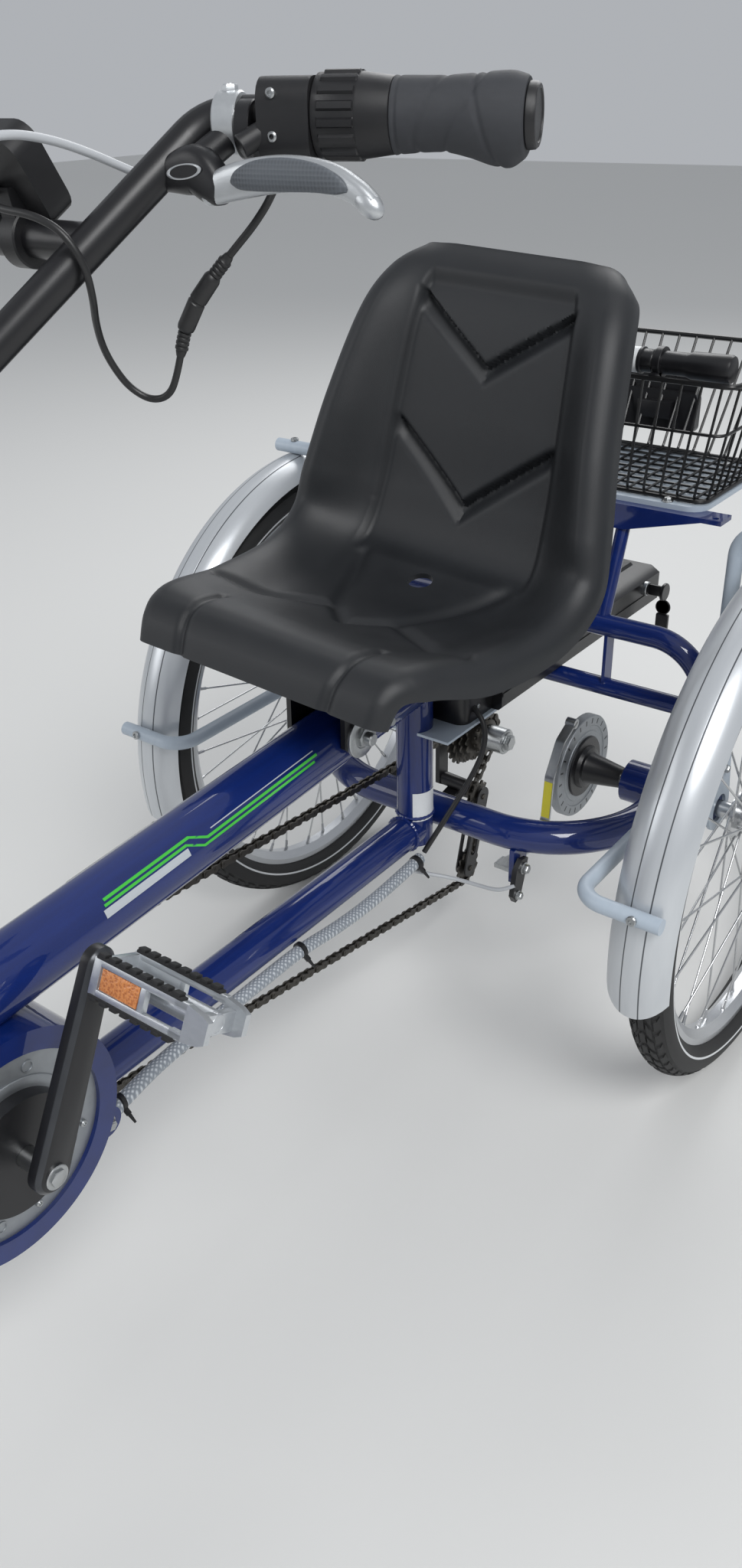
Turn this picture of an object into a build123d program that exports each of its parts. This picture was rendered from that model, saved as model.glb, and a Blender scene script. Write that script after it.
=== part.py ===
"""A recumbent trike: one steered wheel in front, two wheels behind, a motor at the cranks."""

import os
from math import asin, atan2, cos, hypot, pi, radians, sin

from build123d import *

os.makedirs("parts", exist_ok=True)

# Main sizes in mm, x to the rider's left, y to the back, z up from the ground
axle_z = 300.5
wheel_x = 319.0
running_gap = 0.05
face_gap = 1.0

# Rear wheels
rear_radius = 300.5
tyre_width = 47.0
bead_half = 11.0
bead_depth = 7.5
rim_wall = 2.5
rim_depth = 18.0
rear_rim_radius = 262.0
spoke_count = 36
spoke_diameter = 2.4
spoke_cross = 60.0
flange_radius = 29.0
flange_half = 26.0
flange_thick = 4.0
head_offset = 1.9
hub_radius = 17.0
hub_half = 34.0
half_axle_diameter = 20.0
left_axle_in = 97.0
right_axle_in = 12.0
axle_out = 362.0

# Front wheel, out of the picture, sized by the kind of trike
front_radius = 250.0
front_axle_y = -1290.0
front_axle_z = 250.0
front_rim_radius = 211.5
front_hub_half = 32.0
front_axle_diameter = 10.0
front_axle_half = 60.0

# Steering line, leaned back from upright
head_lean = 25.0
fork_offset = 45.0
steer_diameter = 25.4
head_diameter = 44.0
head_low = 322.0
head_high = 442.0
crown_low = 284.0
crown_high = head_low - face_gap
fork_half = 49.0
fork_diameter = 22.0
crown_radius = 24.0
dropout_thick = 6.0
dropout_radius = 15.0

# Frame tubes
upper_diameter = 60.0
lower_diameter = 39.0
post_diameter = 40.5
post_y = -220.0
post_foot_z = 279.0
loop_diameter = 37.5
loop_y = -181.0
loop_half = 208.0
loop_bend = 130.0
hoop_diameter = 25.0
hoop_half = 235.0
hoop_top_z = 488.0
hoop_bend = 65.0
cross_diameter = 21.0
cross_z = 413.0
housing_diameter = 50.0
housing_in = 155.0
housing_out = 265.0
lower_tube_z = 295.0

# Cranks and motor
crank_y = -816.0
crank_z = 320.0
crank_length = 170.0
crank_angle = 63.5
crank_thick = 13.0
crank_out = 85.0
crank_boss = 34.0
crank_eye = 27.0
spindle_diameter = 18.0
motor_radius = 84.0
motor_half = 36.0
motor_wall = 19.0
shell_half = 40.0
cover_radius = 52.0
cover_out = 50.0
ring_x = -45.0
ring_radius = 76.0
ring_thick = 3.0
pedal_pin = 10.0
pedal_in = 100.0
pedal_out = 204.0
pedal_long = 84.0
pedal_high = 24.0

# Chain, held still between the ring and the sprockets
chain_width = 8.0
chain_height = 8.0
chain_ring_r = 81.0
chain_cog_r = 28.0
pulley_r = 21.0

# Fenders
fender_edge = 305.0
fender_crown = 325.0
fender_half = 33.0
fender_thick = 2.0
fender_front_angle = 190.5
fender_rear_angle = -15.0
front_fender_edge = 254.0
front_fender_crown = 272.0
front_fender_half = 30.0
front_fender_start = 25.0
front_fender_end = 150.0
# The row's middle, halfway between the front tyre's nose and the rear fenders' backs
axle_y = (front_radius - front_axle_y - fender_crown) / 2

# Fender stays
stay_diameter = 16.0
stay_x = 257.0
stay_out = 345.0
stay_bend = 28.0
stay_bite = 0.5

# Battery and its carriers
battery_half = 60.0
battery_low = cross_z + cross_diameter / 2
battery_high = 474.0
battery_front = -140.0
battery_back = 250.0

# Seat, tilted a little on its post
seat_roll = 3.4
seat_thick = 9.0
seat_mid_y = -250.0
seat_mid_z = 650.0

# Handlebar
bar_diameter = 22.2
grip_diameter = 36.0


def at(x, y, z):
    """A place measured from the rear axle line."""
    return Vector(x, y + axle_y, z)


def rod(start, end, diameter):
    """A round bar between two places."""
    with BuildPart() as bar:
        with BuildSketch(Plane(origin=start, z_dir=end - start)):
            Circle(diameter / 2)
        extrude(amount=(end - start).length)
    return bar.part


def bent(points, diameter, bend):
    """A round bar along straight runs with bends of one radius."""
    with BuildPart() as bar:
        with BuildLine() as line:
            FilletPolyline(*points, radius=bend)
        with BuildSketch(Plane(origin=line.line @ 0, z_dir=line.line % 0)):
            Circle(diameter / 2)
        sweep(path=line.line)
    return bar.part


def block(x, y, z):
    """A box between two x, two y and two z places."""
    with BuildPart() as solid:
        with Locations(at((x[0] + x[1]) / 2, (y[0] + y[1]) / 2, (z[0] + z[1]) / 2)):
            Box(abs(x[1] - x[0]), abs(y[1] - y[0]), abs(z[1] - z[0]))
    return solid.part


def disc(x0, x1, y, z, radius):
    """A round disc or drum whose axis runs across the trike."""
    return rod(at(x0, y, z), at(x1, y, z), 2 * radius)


def across(y, z, x=0.0):
    """An upright plane across the trike, with its middle on an axle line."""
    return Plane(origin=at(x, y, z), x_dir=(1, 0, 0), z_dir=(0, -1, 0))


def tyre_ring(x, y, z, radius, rim_radius):
    """A tyre, solid, with its beads inside the rim's walls."""
    half = tyre_width / 2
    side_r = radius - half
    with BuildPart() as ring:
        with BuildSketch(across(y, z, x)):
            with BuildLine():
                Polyline(
                    (half - 9, rim_radius + 0.3),
                    (bead_half, rim_radius + 0.3),
                    (bead_half, rim_radius - bead_depth),
                    (-bead_half, rim_radius - bead_depth),
                    (-bead_half, rim_radius + 0.3),
                    (9 - half, rim_radius + 0.3),
                )
                ThreePointArc((9 - half, rim_radius + 0.3), (-half, side_r), (7 - half, radius - 7))
                ThreePointArc((7 - half, radius - 7), (0, radius), (half - 7, radius - 7))
                ThreePointArc((half - 7, radius - 7), (half, side_r), (half - 9, rim_radius + 0.3))
            make_face()
        revolve(axis=Axis(at(x, y, z), (1, 0, 0)))
    return ring.part


def rim_ring(x, y, z, rim_radius):
    """A rim with two walls and a flat well."""
    outer = bead_half + rim_wall
    well = rim_radius - bead_depth
    with BuildPart() as ring:
        with BuildSketch(across(y, z, x)):
            with BuildLine():
                Polyline(
                    (outer, rim_radius),
                    (bead_half, rim_radius),
                    (bead_half, well),
                    (-bead_half, well),
                    (-bead_half, rim_radius),
                    (-outer, rim_radius),
                    (-outer, well - 1),
                    (-6, rim_radius - rim_depth),
                    (6, rim_radius - rim_depth),
                    (outer, well - 1),
                    close=True,
                )
            make_face()
        revolve(axis=Axis(at(x, y, z), (1, 0, 0)))
    return ring.part


def spoke_rods(x, y, z, rim_radius):
    """Crossed spokes from the two hub flanges to the middle of the rim."""
    reach = rim_radius - rim_depth + 0.6
    foot = flange_radius - 3
    rods = []
    for number in range(spoke_count):
        side = 1 if number % 2 == 0 else -1
        lean = 1 if (number // 2) % 2 == 0 else -1
        rim_turn = radians(number * 360 / spoke_count)
        hub_turn = rim_turn - lean * radians(spoke_cross)
        hub_x = x + side * (flange_half + lean * head_offset)
        start = at(hub_x, y + foot * cos(hub_turn), z + foot * sin(hub_turn))
        end = at(x + side * 2.5, y + reach * cos(rim_turn), z + reach * sin(rim_turn))
        rods.append(rod(start, end, spoke_diameter))
    return rods


def fender_shell(x, y, z, edge, crown, half, start, end):
    """A rolled fender over a wheel between two angles, from straight back over the top."""
    turn = radians(start)
    section = Plane(origin=at(x, y, z), x_dir=(1, 0, 0), z_dir=(0, -sin(turn), cos(turn)))
    with BuildPart() as shell:
        with BuildSketch(section):
            with BuildLine():
                ThreePointArc((-half, edge), (0, crown), (half, edge))
                Line((half, edge), (half - fender_thick, edge))
                ThreePointArc(
                    (half - fender_thick, edge), (0, crown - fender_thick), (fender_thick - half, edge)
                )
                Line((fender_thick - half, edge), (-half, edge))
            make_face()
        revolve(axis=Axis(at(x, y, z), (1, 0, 0)), revolution_arc=end - start)
    return shell.part


def arm_plate(x0, x1, y, z, length, angle, big, small):
    """A flat tapered arm across x from one eye to another."""
    turn = radians(angle)
    with BuildPart() as arm:
        with BuildSketch(Plane(origin=at(x0, y, z), x_dir=(0, 1, 0), z_dir=(1, 0, 0))):
            Circle(big / 2)
            with Locations((length * cos(turn), length * sin(turn))):
                Circle(small / 2)
            make_hull()
        extrude(amount=x1 - x0)
    return arm.part


# Rear wheels with their half axles
left_spokes = spoke_rods(wheel_x, 0, axle_z, rear_rim_radius)
right_spokes = spoke_rods(-wheel_x, 0, axle_z, rear_rim_radius)

with BuildPart() as tyre_rear_left:
    add(tyre_ring(wheel_x, 0, axle_z, rear_radius, rear_rim_radius))
tyre_rear_left.part.label = "tyre_rear_left"
export_step(tyre_rear_left.part, "parts/tyre_rear_left.step")

with BuildPart() as tyre_rear_right:
    add(tyre_ring(-wheel_x, 0, axle_z, rear_radius, rear_rim_radius))
tyre_rear_right.part.label = "tyre_rear_right"
export_step(tyre_rear_right.part, "parts/tyre_rear_right.step")

with BuildPart() as rim_rear_left:
    add(rim_ring(wheel_x, 0, axle_z, rear_rim_radius))
rim_rear_left.part.label = "rim_rear_left"
export_step(rim_rear_left.part, "parts/rim_rear_left.step")

with BuildPart() as rim_rear_right:
    add(rim_ring(-wheel_x, 0, axle_z, rear_rim_radius))
rim_rear_right.part.label = "rim_rear_right"
export_step(rim_rear_right.part, "parts/rim_rear_right.step")


def hub_solids(x, y, z, half, spokes):
    """A barrel hub with two flanges and its spokes."""
    solids = [disc(x - half, x + half, y, z, hub_radius)]
    for side in (-1, 1):
        middle = x + side * flange_half
        solids.append(disc(middle - flange_thick / 2, middle + flange_thick / 2, y, z, flange_radius))
    return solids + spokes


left_hub = hub_solids(wheel_x, 0, axle_z, hub_half, left_spokes)
left_hub.append(disc(left_axle_in, axle_out, 0, axle_z, half_axle_diameter / 2))
right_hub = hub_solids(-wheel_x, 0, axle_z, hub_half, right_spokes)
right_hub.append(disc(-axle_out, -right_axle_in, 0, axle_z, half_axle_diameter / 2))

with BuildPart() as spokes_rear_left:
    add(left_hub)
    add(rim_rear_left.part, mode=Mode.SUBTRACT)
spokes_rear_left.part.label = "spokes_rear_left"
export_step(spokes_rear_left.part, "parts/spokes_rear_left.step")

with BuildPart() as spokes_rear_right:
    add(right_hub)
    add(rim_rear_right.part, mode=Mode.SUBTRACT)
spokes_rear_right.part.label = "spokes_rear_right"
export_step(spokes_rear_right.part, "parts/spokes_rear_right.step")

# Brake drum on the left half axle: x in, x out, radius
brake_steps = [(99.0, 103.0, 64.0), (103.0, 106.0, 38.0), (106.0, 148.0, 17.0)]
brake_discs = [disc(x0, x1, 0, axle_z, r) for x0, x1, r in brake_steps]
with BuildPart() as brake_disc:
    add(brake_discs)
    add(spokes_rear_left.part, mode=Mode.SUBTRACT)
brake_disc.part.label = "brake_disc"
export_step(brake_disc.part, "parts/brake_disc.step")

# Sprockets on the right half axle: middle x, radius
sprocket_rows = [(-45.0, 23.5), (-52.0, 34.0), (-59.0, 38.0), (-66.0, 42.0), (-73.0, 46.0)]
sprocket_discs = [disc(x - 1.2, x + 1.2, 0, axle_z, r) for x, r in sprocket_rows]
sprocket_discs.append(disc(-80, -40, 0, axle_z, 22))
with BuildPart() as cassette:
    add(sprocket_discs)
    add(spokes_rear_right.part, mode=Mode.SUBTRACT)
cassette.part.label = "cassette"
export_step(cassette.part, "parts/cassette.step")

# Front wheel
front_spokes = spoke_rods(0, front_axle_y, front_axle_z, front_rim_radius)
front_hub = hub_solids(0, front_axle_y, front_axle_z, front_hub_half, front_spokes)
front_axle_rod = disc(
    -front_axle_half, front_axle_half, front_axle_y, front_axle_z, front_axle_diameter / 2
)
front_bore = disc(
    -front_axle_half, front_axle_half, front_axle_y, front_axle_z, front_axle_diameter / 2 + running_gap
)

with BuildPart() as tyre_front:
    add(tyre_ring(0, front_axle_y, front_axle_z, front_radius, front_rim_radius))
tyre_front.part.label = "tyre_front"
export_step(tyre_front.part, "parts/tyre_front.step")

with BuildPart() as rim_front:
    add(rim_ring(0, front_axle_y, front_axle_z, front_rim_radius))
rim_front.part.label = "rim_front"
export_step(rim_front.part, "parts/rim_front.step")

with BuildPart() as spokes_front:
    add(front_hub)
    add(rim_front.part, mode=Mode.SUBTRACT)
    add(front_bore, mode=Mode.SUBTRACT)
spokes_front.part.label = "spokes_front"
export_step(spokes_front.part, "parts/spokes_front.step")

# Frame: bearing housings at the two rear corners
housing_ends = [(housing_in, housing_out), (-housing_out, -housing_in)]
housings = [disc(x0, x1, 0, axle_z, housing_diameter / 2) for x0, x1 in housing_ends]
bores = [disc(x0, x1, 0, axle_z, half_axle_diameter / 2 + running_gap) for x0, x1 in housing_ends]
with BuildPart() as bearing_housings:
    add(housings)
    add(bores, mode=Mode.SUBTRACT)
bearing_housings.part.label = "bearing_housings"
export_step(bearing_housings.part, "parts/bearing_housings.step")

# Frame: motor shell and its two tubes
shell_radius = motor_radius + motor_wall
shell_drum = disc(-shell_half, shell_half, crank_y, crank_z, shell_radius)
motor_room = disc(-shell_half, shell_half, crank_y, crank_z, motor_radius)
with BuildPart() as motor_shell:
    add(shell_drum)
    add(motor_room, mode=Mode.SUBTRACT)
motor_shell.part.label = "motor_shell"
export_step(motor_shell.part, "parts/motor_shell.step")

upper_points = [(-197.0, 483.5), (-850.0, 440.0), (-1088.6, 575.4)]
upper_tube_bar = bent([at(0, y, z) for y, z in upper_points], upper_diameter, 170)


def steer_plane(s=0.0):
    """The plane square to the steering line at a height along it from the axle's foot."""
    lean = radians(head_lean)
    foot_y = front_axle_y + fork_offset * cos(lean)
    foot_z = front_axle_z - fork_offset * sin(lean)
    origin = at(0, foot_y + s * sin(lean), foot_z + s * cos(lean))
    return Plane(origin=origin, x_dir=(1, 0, 0), z_dir=(0, sin(lean), cos(lean)))


def on_steer(x, y, s):
    """A place given along the steering line: x, back from it, up along it."""
    return steer_plane(s).from_local_coords(Vector(x, y, 0))


head_bar = rod(on_steer(0, 0, head_low), on_steer(0, 0, head_high), head_diameter)
head_bore = rod(
    on_steer(0, 0, head_low - 5), on_steer(0, 0, head_high + 5), steer_diameter + 2 * running_gap
)
with BuildPart() as head_tube:
    add(head_bar)
    add(head_bore, mode=Mode.SUBTRACT)
head_tube.part.label = "head_tube"
export_step(head_tube.part, "parts/head_tube.step")

with BuildPart() as upper_tube:
    add(upper_tube_bar)
    add(shell_drum, mode=Mode.SUBTRACT)
    add(head_bar, mode=Mode.SUBTRACT)
upper_tube.part.label = "upper_tube"
export_step(upper_tube.part, "parts/upper_tube.step")

post_bar = rod(at(0, post_y, post_foot_z), at(0, post_y, 482), post_diameter)
with BuildPart() as seat_post:
    add(post_bar)
    add(upper_tube.part, mode=Mode.SUBTRACT)
seat_post.part.label = "seat_post"
export_step(seat_post.part, "parts/seat_post.step")

lower_bar = rod(at(0, post_y, lower_tube_z), at(0, crank_y + 60, lower_tube_z), lower_diameter)
with BuildPart() as lower_tube:
    add(lower_bar)
    add(shell_drum, mode=Mode.SUBTRACT)
    add(post_bar, mode=Mode.SUBTRACT)
lower_tube.part.label = "lower_tube"
export_step(lower_tube.part, "parts/lower_tube.step")

loop_points = [
    at(loop_half, 0, axle_z),
    at(loop_half, loop_y, axle_z),
    at(-loop_half, loop_y, axle_z),
    at(-loop_half, 0, axle_z),
]
loop_bar = bent(loop_points, loop_diameter, loop_bend)
with BuildPart() as lower_loop:
    add(loop_bar)
    add(housings, mode=Mode.SUBTRACT)
    add(post_bar, mode=Mode.SUBTRACT)
lower_loop.part.label = "lower_loop"
export_step(lower_loop.part, "parts/lower_loop.step")

hoop_points = [
    at(hoop_half, 0, axle_z),
    at(hoop_half, 0, hoop_top_z),
    at(-hoop_half, 0, hoop_top_z),
    at(-hoop_half, 0, axle_z),
]
hoop_bar = bent(hoop_points, hoop_diameter, hoop_bend)
with BuildPart() as rear_hoop:
    add(hoop_bar)
    add(housings, mode=Mode.SUBTRACT)
rear_hoop.part.label = "rear_hoop"
export_step(rear_hoop.part, "parts/rear_hoop.step")

cross_bar = rod(at(-hoop_half, 0, cross_z), at(hoop_half, 0, cross_z), cross_diameter)
strap = block((114, 118), (-9, 9), (cross_z, hoop_top_z))
with BuildPart() as cross_tube:
    add(cross_bar)
    add(strap)
    add(hoop_bar, mode=Mode.SUBTRACT)
cross_tube.part.label = "cross_tube"
export_step(cross_tube.part, "parts/cross_tube.step")

# Motor inside its shell, with a round cover on the left face
spindle_bore = disc(-70, 70, crank_y, crank_z, spindle_diameter / 2 + running_gap)
motor_drum = disc(-motor_half, motor_half, crank_y, crank_z, motor_radius)
with BuildPart() as motor:
    add(motor_drum)
    add(spindle_bore, mode=Mode.SUBTRACT)
motor.part.label = "motor"
export_step(motor.part, "parts/motor.step")

with BuildPart() as motor_cover:
    add(disc(motor_half, cover_out, crank_y, crank_z, cover_radius))
    add(spindle_bore, mode=Mode.SUBTRACT)
motor_cover.part.label = "motor_cover"
export_step(motor_cover.part, "parts/motor_cover.step")

# Cranks, spindle and chain ring turn together
crank_in = crank_out - crank_thick
left_arm = arm_plate(
    crank_in, crank_out, crank_y, crank_z, crank_length, crank_angle, crank_boss, crank_eye
)
right_arm = arm_plate(
    -crank_out, -crank_in, crank_y, crank_z, crank_length, crank_angle + 180, crank_boss, crank_eye
)
crank_turn = radians(crank_angle)
pedal_dy = crank_length * cos(crank_turn)
pedal_dz = crank_length * sin(crank_turn)
left_pin = disc(
    crank_out, pedal_out - 6, crank_y + pedal_dy, crank_z + pedal_dz, pedal_pin / 2
)
right_pin = disc(
    6 - pedal_out, -crank_out, crank_y - pedal_dy, crank_z - pedal_dz, pedal_pin / 2
)
spindle = disc(-crank_out, crank_out, crank_y, crank_z, spindle_diameter / 2)
with BuildPart() as cranks:
    add([left_arm, right_arm, left_pin, right_pin, spindle])
cranks.part.label = "cranks"
export_step(cranks.part, "parts/cranks.step")

ring_disc = disc(
    ring_x - ring_thick / 2, ring_x + ring_thick / 2, crank_y, crank_z, ring_radius
)
ring_room = disc(ring_x - 5, ring_x + 5, crank_y, crank_z, 62)
ring_spider = disc(ring_x - 16, ring_x + 1.5, crank_y, crank_z, 20)
spider_arms = []
for turn_deg in (0, 72, 144, 216, 288):
    spider_arms.append(
        arm_plate(ring_x - 6, ring_x - 1.5, crank_y, crank_z, 66, turn_deg, 26, 14)
    )
with BuildPart() as chain_ring:
    add(ring_disc)
    add(ring_room, mode=Mode.SUBTRACT)
    add(spider_arms)
    add(ring_spider)
    add(cranks.part, mode=Mode.SUBTRACT)
chain_ring.part.label = "chain_ring"
export_step(chain_ring.part, "parts/chain_ring.step")


def pedal_body(side):
    """A block pedal with two tread bars, square to the crank."""
    y = crank_y + side * pedal_dy
    z = crank_z + side * pedal_dz
    x0, x1 = sorted((side * pedal_in, side * pedal_out))
    plane = Plane(
        origin=at(x0, y, z),
        x_dir=(0, -sin(crank_turn), cos(crank_turn)),
        z_dir=(1, 0, 0),
    )
    with BuildPart() as pedal:
        with BuildSketch(plane):
            RectangleRounded(pedal_long, pedal_high, 8)
        extrude(amount=x1 - x0)
        with BuildSketch(plane):
            Circle(pedal_pin / 2 + running_gap)
        extrude(amount=x1 - x0, mode=Mode.SUBTRACT)
    return pedal.part


with BuildPart() as pedal_left:
    add(pedal_body(1))
pedal_left.part.label = "pedal_left"
export_step(pedal_left.part, "parts/pedal_left.step")

with BuildPart() as pedal_right:
    add(pedal_body(-1))
pedal_right.part.label = "pedal_right"
export_step(pedal_right.part, "parts/pedal_right.step")

# Chain wheels in order along the chain: y, z, radius, turn (1 clockwise seen from the left)
chain_wheels = [
    (crank_y, crank_z, chain_ring_r, 1),
    (0.0, axle_z, chain_cog_r, 1),
    (-12.0, 218.0, pulley_r, -1),
    (-40.0, 122.0, pulley_r, 1),
]


def chain_outline(grow):
    """The closed line of the chain, moved outward by a distance."""
    count = len(chain_wheels)
    leave = []
    arrive = [None] * count
    for index in range(count):
        y0, z0, r0, s0 = chain_wheels[index]
        y1, z1, r1, s1 = chain_wheels[(index + 1) % count]
        reach0 = s0 * r0 + grow
        reach1 = s1 * r1 + grow
        length = hypot(y1 - y0, z1 - z0)
        heading = atan2(z1 - z0, y1 - y0) + asin((reach1 - reach0) / length)
        normal = (-sin(heading), cos(heading))
        leave.append((y0 + reach0 * normal[0], z0 + reach0 * normal[1]))
        arrive[(index + 1) % count] = (y1 + reach1 * normal[0], z1 + reach1 * normal[1])
    with BuildLine(Plane(origin=at(ring_x, 0, 0), x_dir=(0, 1, 0), z_dir=(1, 0, 0))) as outline:
        for index in range(count):
            y, z, r, turn = chain_wheels[index]
            first, last = arrive[index], leave[index]
            start = atan2(first[1] - z, first[0] - y)
            sweep_turn = atan2(last[1] - z, last[0] - y) - start
            if turn * sweep_turn > 0:
                sweep_turn -= turn * 2 * pi
            middle = start + sweep_turn / 2
            reach = hypot(first[0] - y, first[1] - z)
            ThreePointArc(first, (y + reach * cos(middle), z + reach * sin(middle)), last)
            Line(last, arrive[(index + 1) % count])
    return outline.line


outer_line = chain_outline(chain_height / 2)
inner_line = chain_outline(-chain_height / 2)
chain_plane = Plane(origin=at(ring_x, 0, 0), x_dir=(0, 1, 0), z_dir=(1, 0, 0))
with BuildPart() as chain:
    with BuildSketch(chain_plane):
        make_face(chain_plane.to_local_coords(outer_line))
        make_face(chain_plane.to_local_coords(inner_line), mode=Mode.SUBTRACT)
    extrude(amount=chain_width / 2, both=True)
chain.part.label = "chain"
export_step(chain.part, "parts/chain.step")

# Fork, turned with the handlebar
blade_points = [(0.0, 300.0), (-4.0, 150.0), (-fork_offset, 0.0)]
blades = []
for side in (-1, 1):
    points = [on_steer(side * fork_half, y, s) for y, s in blade_points]
    blades.append(bent(points, fork_diameter, 120))
crown_bar = rod(on_steer(0, 0, crown_low), on_steer(0, 0, crown_high), 2 * crown_radius)
fender_boss = rod(on_steer(0, 0, 266.5), on_steer(0, 0, crown_low), 16)
crown_yoke = rod(on_steer(-fork_half, 0, 300), on_steer(fork_half, 0, 300), 30)
steer_bar = rod(on_steer(0, 0, crown_high - 4), on_steer(0, 0, 478), steer_diameter)
dropouts = []
for side in (-1, 1):
    x0, x1 = sorted((side * (fork_half - dropout_thick / 2), side * (fork_half + dropout_thick / 2)))
    dropouts.append(disc(x0, x1, front_axle_y, front_axle_z, dropout_radius))
with BuildPart() as fork:
    add(blades)
    add([crown_bar, crown_yoke, steer_bar, fender_boss])
    add(dropouts)
    add(front_axle_rod, mode=Mode.SUBTRACT)
fork.part.label = "fork"
export_step(fork.part, "parts/fork.step")

with BuildPart() as front_axle:
    add(front_axle_rod)
front_axle.part.label = "front_axle"
export_step(front_axle.part, "parts/front_axle.step")

with BuildPart() as fender_front:
    add(
        fender_shell(
            0,
            front_axle_y,
            front_axle_z,
            front_fender_edge,
            front_fender_crown,
            front_fender_half,
            front_fender_start,
            front_fender_end,
        )
    )
    add(fork.part, mode=Mode.SUBTRACT)
fender_front.part.label = "fender_front"
export_step(fender_front.part, "parts/fender_front.step")

# Handlebar: arms from the stem up and out to the grips
stem_top = on_steer(0, 0, 470)
bar_foot = at(0, -870, 785)
bar_corner = (128.0, -604.0, 1017.0)
bar_end = (300.0, -540.0, 1016.0)
arms = []
for side in (-1, 1):
    points = [
        bar_foot,
        at(side * bar_corner[0], bar_corner[1], bar_corner[2]),
        at(side * bar_end[0], bar_end[1], bar_end[2]),
    ]
    arms.append(bent(points, bar_diameter, 32))
cross_x = 94.0
cross_y = -673.0
cross_high = 956.0
bar_brace = rod(at(-cross_x, cross_y, cross_high), at(cross_x, cross_y, cross_high), bar_diameter)
riser = rod(stem_top, bar_foot, 32)
stem_cap = rod(on_steer(0, 0, head_high + face_gap), on_steer(0, 0, 490), 40)
with BuildPart() as handlebar:
    add(arms)
    add([bar_brace, riser, stem_cap])
    add(steer_bar, mode=Mode.SUBTRACT)
handlebar.part.label = "handlebar"
export_step(handlebar.part, "parts/handlebar.step")

grip_parts = []
for side in (-1, 1):
    start = at(side * 198.0, -578.0, 1016.6)
    end = at(side * 303.0, -539.0, 1016.0)
    grip_parts.append(rod(start, end, grip_diameter))
with BuildPart() as grips:
    add(grip_parts)
    add(handlebar.part, mode=Mode.SUBTRACT)
grips.part.label = "grips"
export_step(grips.part, "parts/grips.step")

with BuildPart() as display:
    add(block((-62, 62), (-686, -664), (968, 1012)))
    add(handlebar.part, mode=Mode.SUBTRACT)
display.part.label = "display"
export_step(display.part, "parts/display.step")

# Fenders with the stays that carry them
left_fender_shell = fender_shell(
    wheel_x,
    0,
    axle_z,
    fender_edge,
    fender_crown,
    fender_half,
    fender_rear_angle,
    fender_front_angle,
)
right_fender_shell = mirror(left_fender_shell, about=Plane.YZ)
with BuildPart() as fender_left:
    add(left_fender_shell)
fender_left.part.label = "fender_left"
export_step(fender_left.part, "parts/fender_left.step")

with BuildPart() as fender_right:
    add(right_fender_shell)
fender_right.part.label = "fender_right"
export_step(fender_right.part, "parts/fender_right.step")

stay_r = fender_crown + stay_diameter / 2 - stay_bite
low_y = -stay_r * cos(radians(11))
low_z = axle_z + stay_r * sin(radians(11))
lower_stay_points = [
    (stay_x, 0.0, 366.0),
    (stay_x, low_y, low_z),
    (stay_out, low_y, low_z),
]
upper_stay_points = [
    (stay_x, -20.0, 350.0),
    (stay_x, -20.0, axle_z + stay_r),
    (stay_out, -20.0, axle_z + stay_r),
]


def stay_solids(side):
    """Two bent stays and the plate that bolts them to a bearing housing."""
    solids = []
    for rows in (lower_stay_points, upper_stay_points):
        points = [at(side * x, y, z) for x, y, z in rows]
        solids.append(bent(points, stay_diameter, stay_bend))
    x0, x1 = sorted((side * housing_out, side * (housing_out + 4)))
    with BuildPart() as plate:
        with BuildSketch(Plane(origin=at(x0, 0, axle_z), x_dir=(0, 1, 0), z_dir=(1, 0, 0))):
            Circle(27)
            with Locations((-20, 62)):
                Rectangle(68, 20)
            make_hull()
            Circle(17, mode=Mode.SUBTRACT)
        extrude(amount=x1 - x0)
    solids.append(plate.part)
    return solids


left_stays = stay_solids(1)
right_stays = stay_solids(-1)
with BuildPart() as stays_left:
    add(left_stays)
    add(left_fender_shell, mode=Mode.SUBTRACT)
stays_left.part.label = "stays_left"
export_step(stays_left.part, "parts/stays_left.step")

with BuildPart() as stays_right:
    add(right_stays)
    add(right_fender_shell, mode=Mode.SUBTRACT)
stays_right.part.label = "stays_right"
export_step(stays_right.part, "parts/stays_right.step")

# Battery, its front block and the plate under both
tray = block((-53, 53), (-235, battery_front + 40), (battery_low - 3, battery_low))
tray_rail = block((-20, 20), (battery_front, -5), (battery_low - 3, battery_low))
with BuildPart() as battery_tray:
    add([tray, tray_rail])
    add(post_bar, mode=Mode.SUBTRACT)
    add(cross_bar, mode=Mode.SUBTRACT)
battery_tray.part.label = "battery_tray"
export_step(battery_tray.part, "parts/battery_tray.step")

with BuildPart() as battery:
    add(block((-battery_half, battery_half), (battery_front, battery_back), (battery_low, battery_high)))
battery.part.label = "battery"
export_step(battery.part, "parts/battery.step")

with BuildPart() as battery_block:
    add(block((-48, 48), (-196, battery_front), (battery_low, 497)))
    add(post_bar, mode=Mode.SUBTRACT)
    add(upper_tube.part, mode=Mode.SUBTRACT)
battery_block.part.label = "battery_block"
export_step(battery_block.part, "parts/battery_block.step")

# Seat: sections from the front lip to the top of the back
# Each row: y, z, lean of the section, half width, flat half, rise of the sides
seat_rows = [
    (-470.0, 572.0, 75.0, 145.0, 100.0, 2.0),
    (-440.0, 604.0, 15.0, 158.0, 105.0, 8.0),
    (-330.0, 581.0, -4.0, 178.0, 110.0, 15.0),
    (-215.0, 584.0, 10.0, 187.0, 112.0, 22.0),
    (-150.0, 625.0, 62.0, 187.0, 112.0, 40.0),
    (-131.0, 690.0, 82.0, 176.0, 106.0, 42.0),
    (-108.0, 800.0, 76.0, 156.0, 100.0, 24.0),
    (-68.0, 874.0, 52.0, 128.0, 84.0, 4.0),
]


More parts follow.
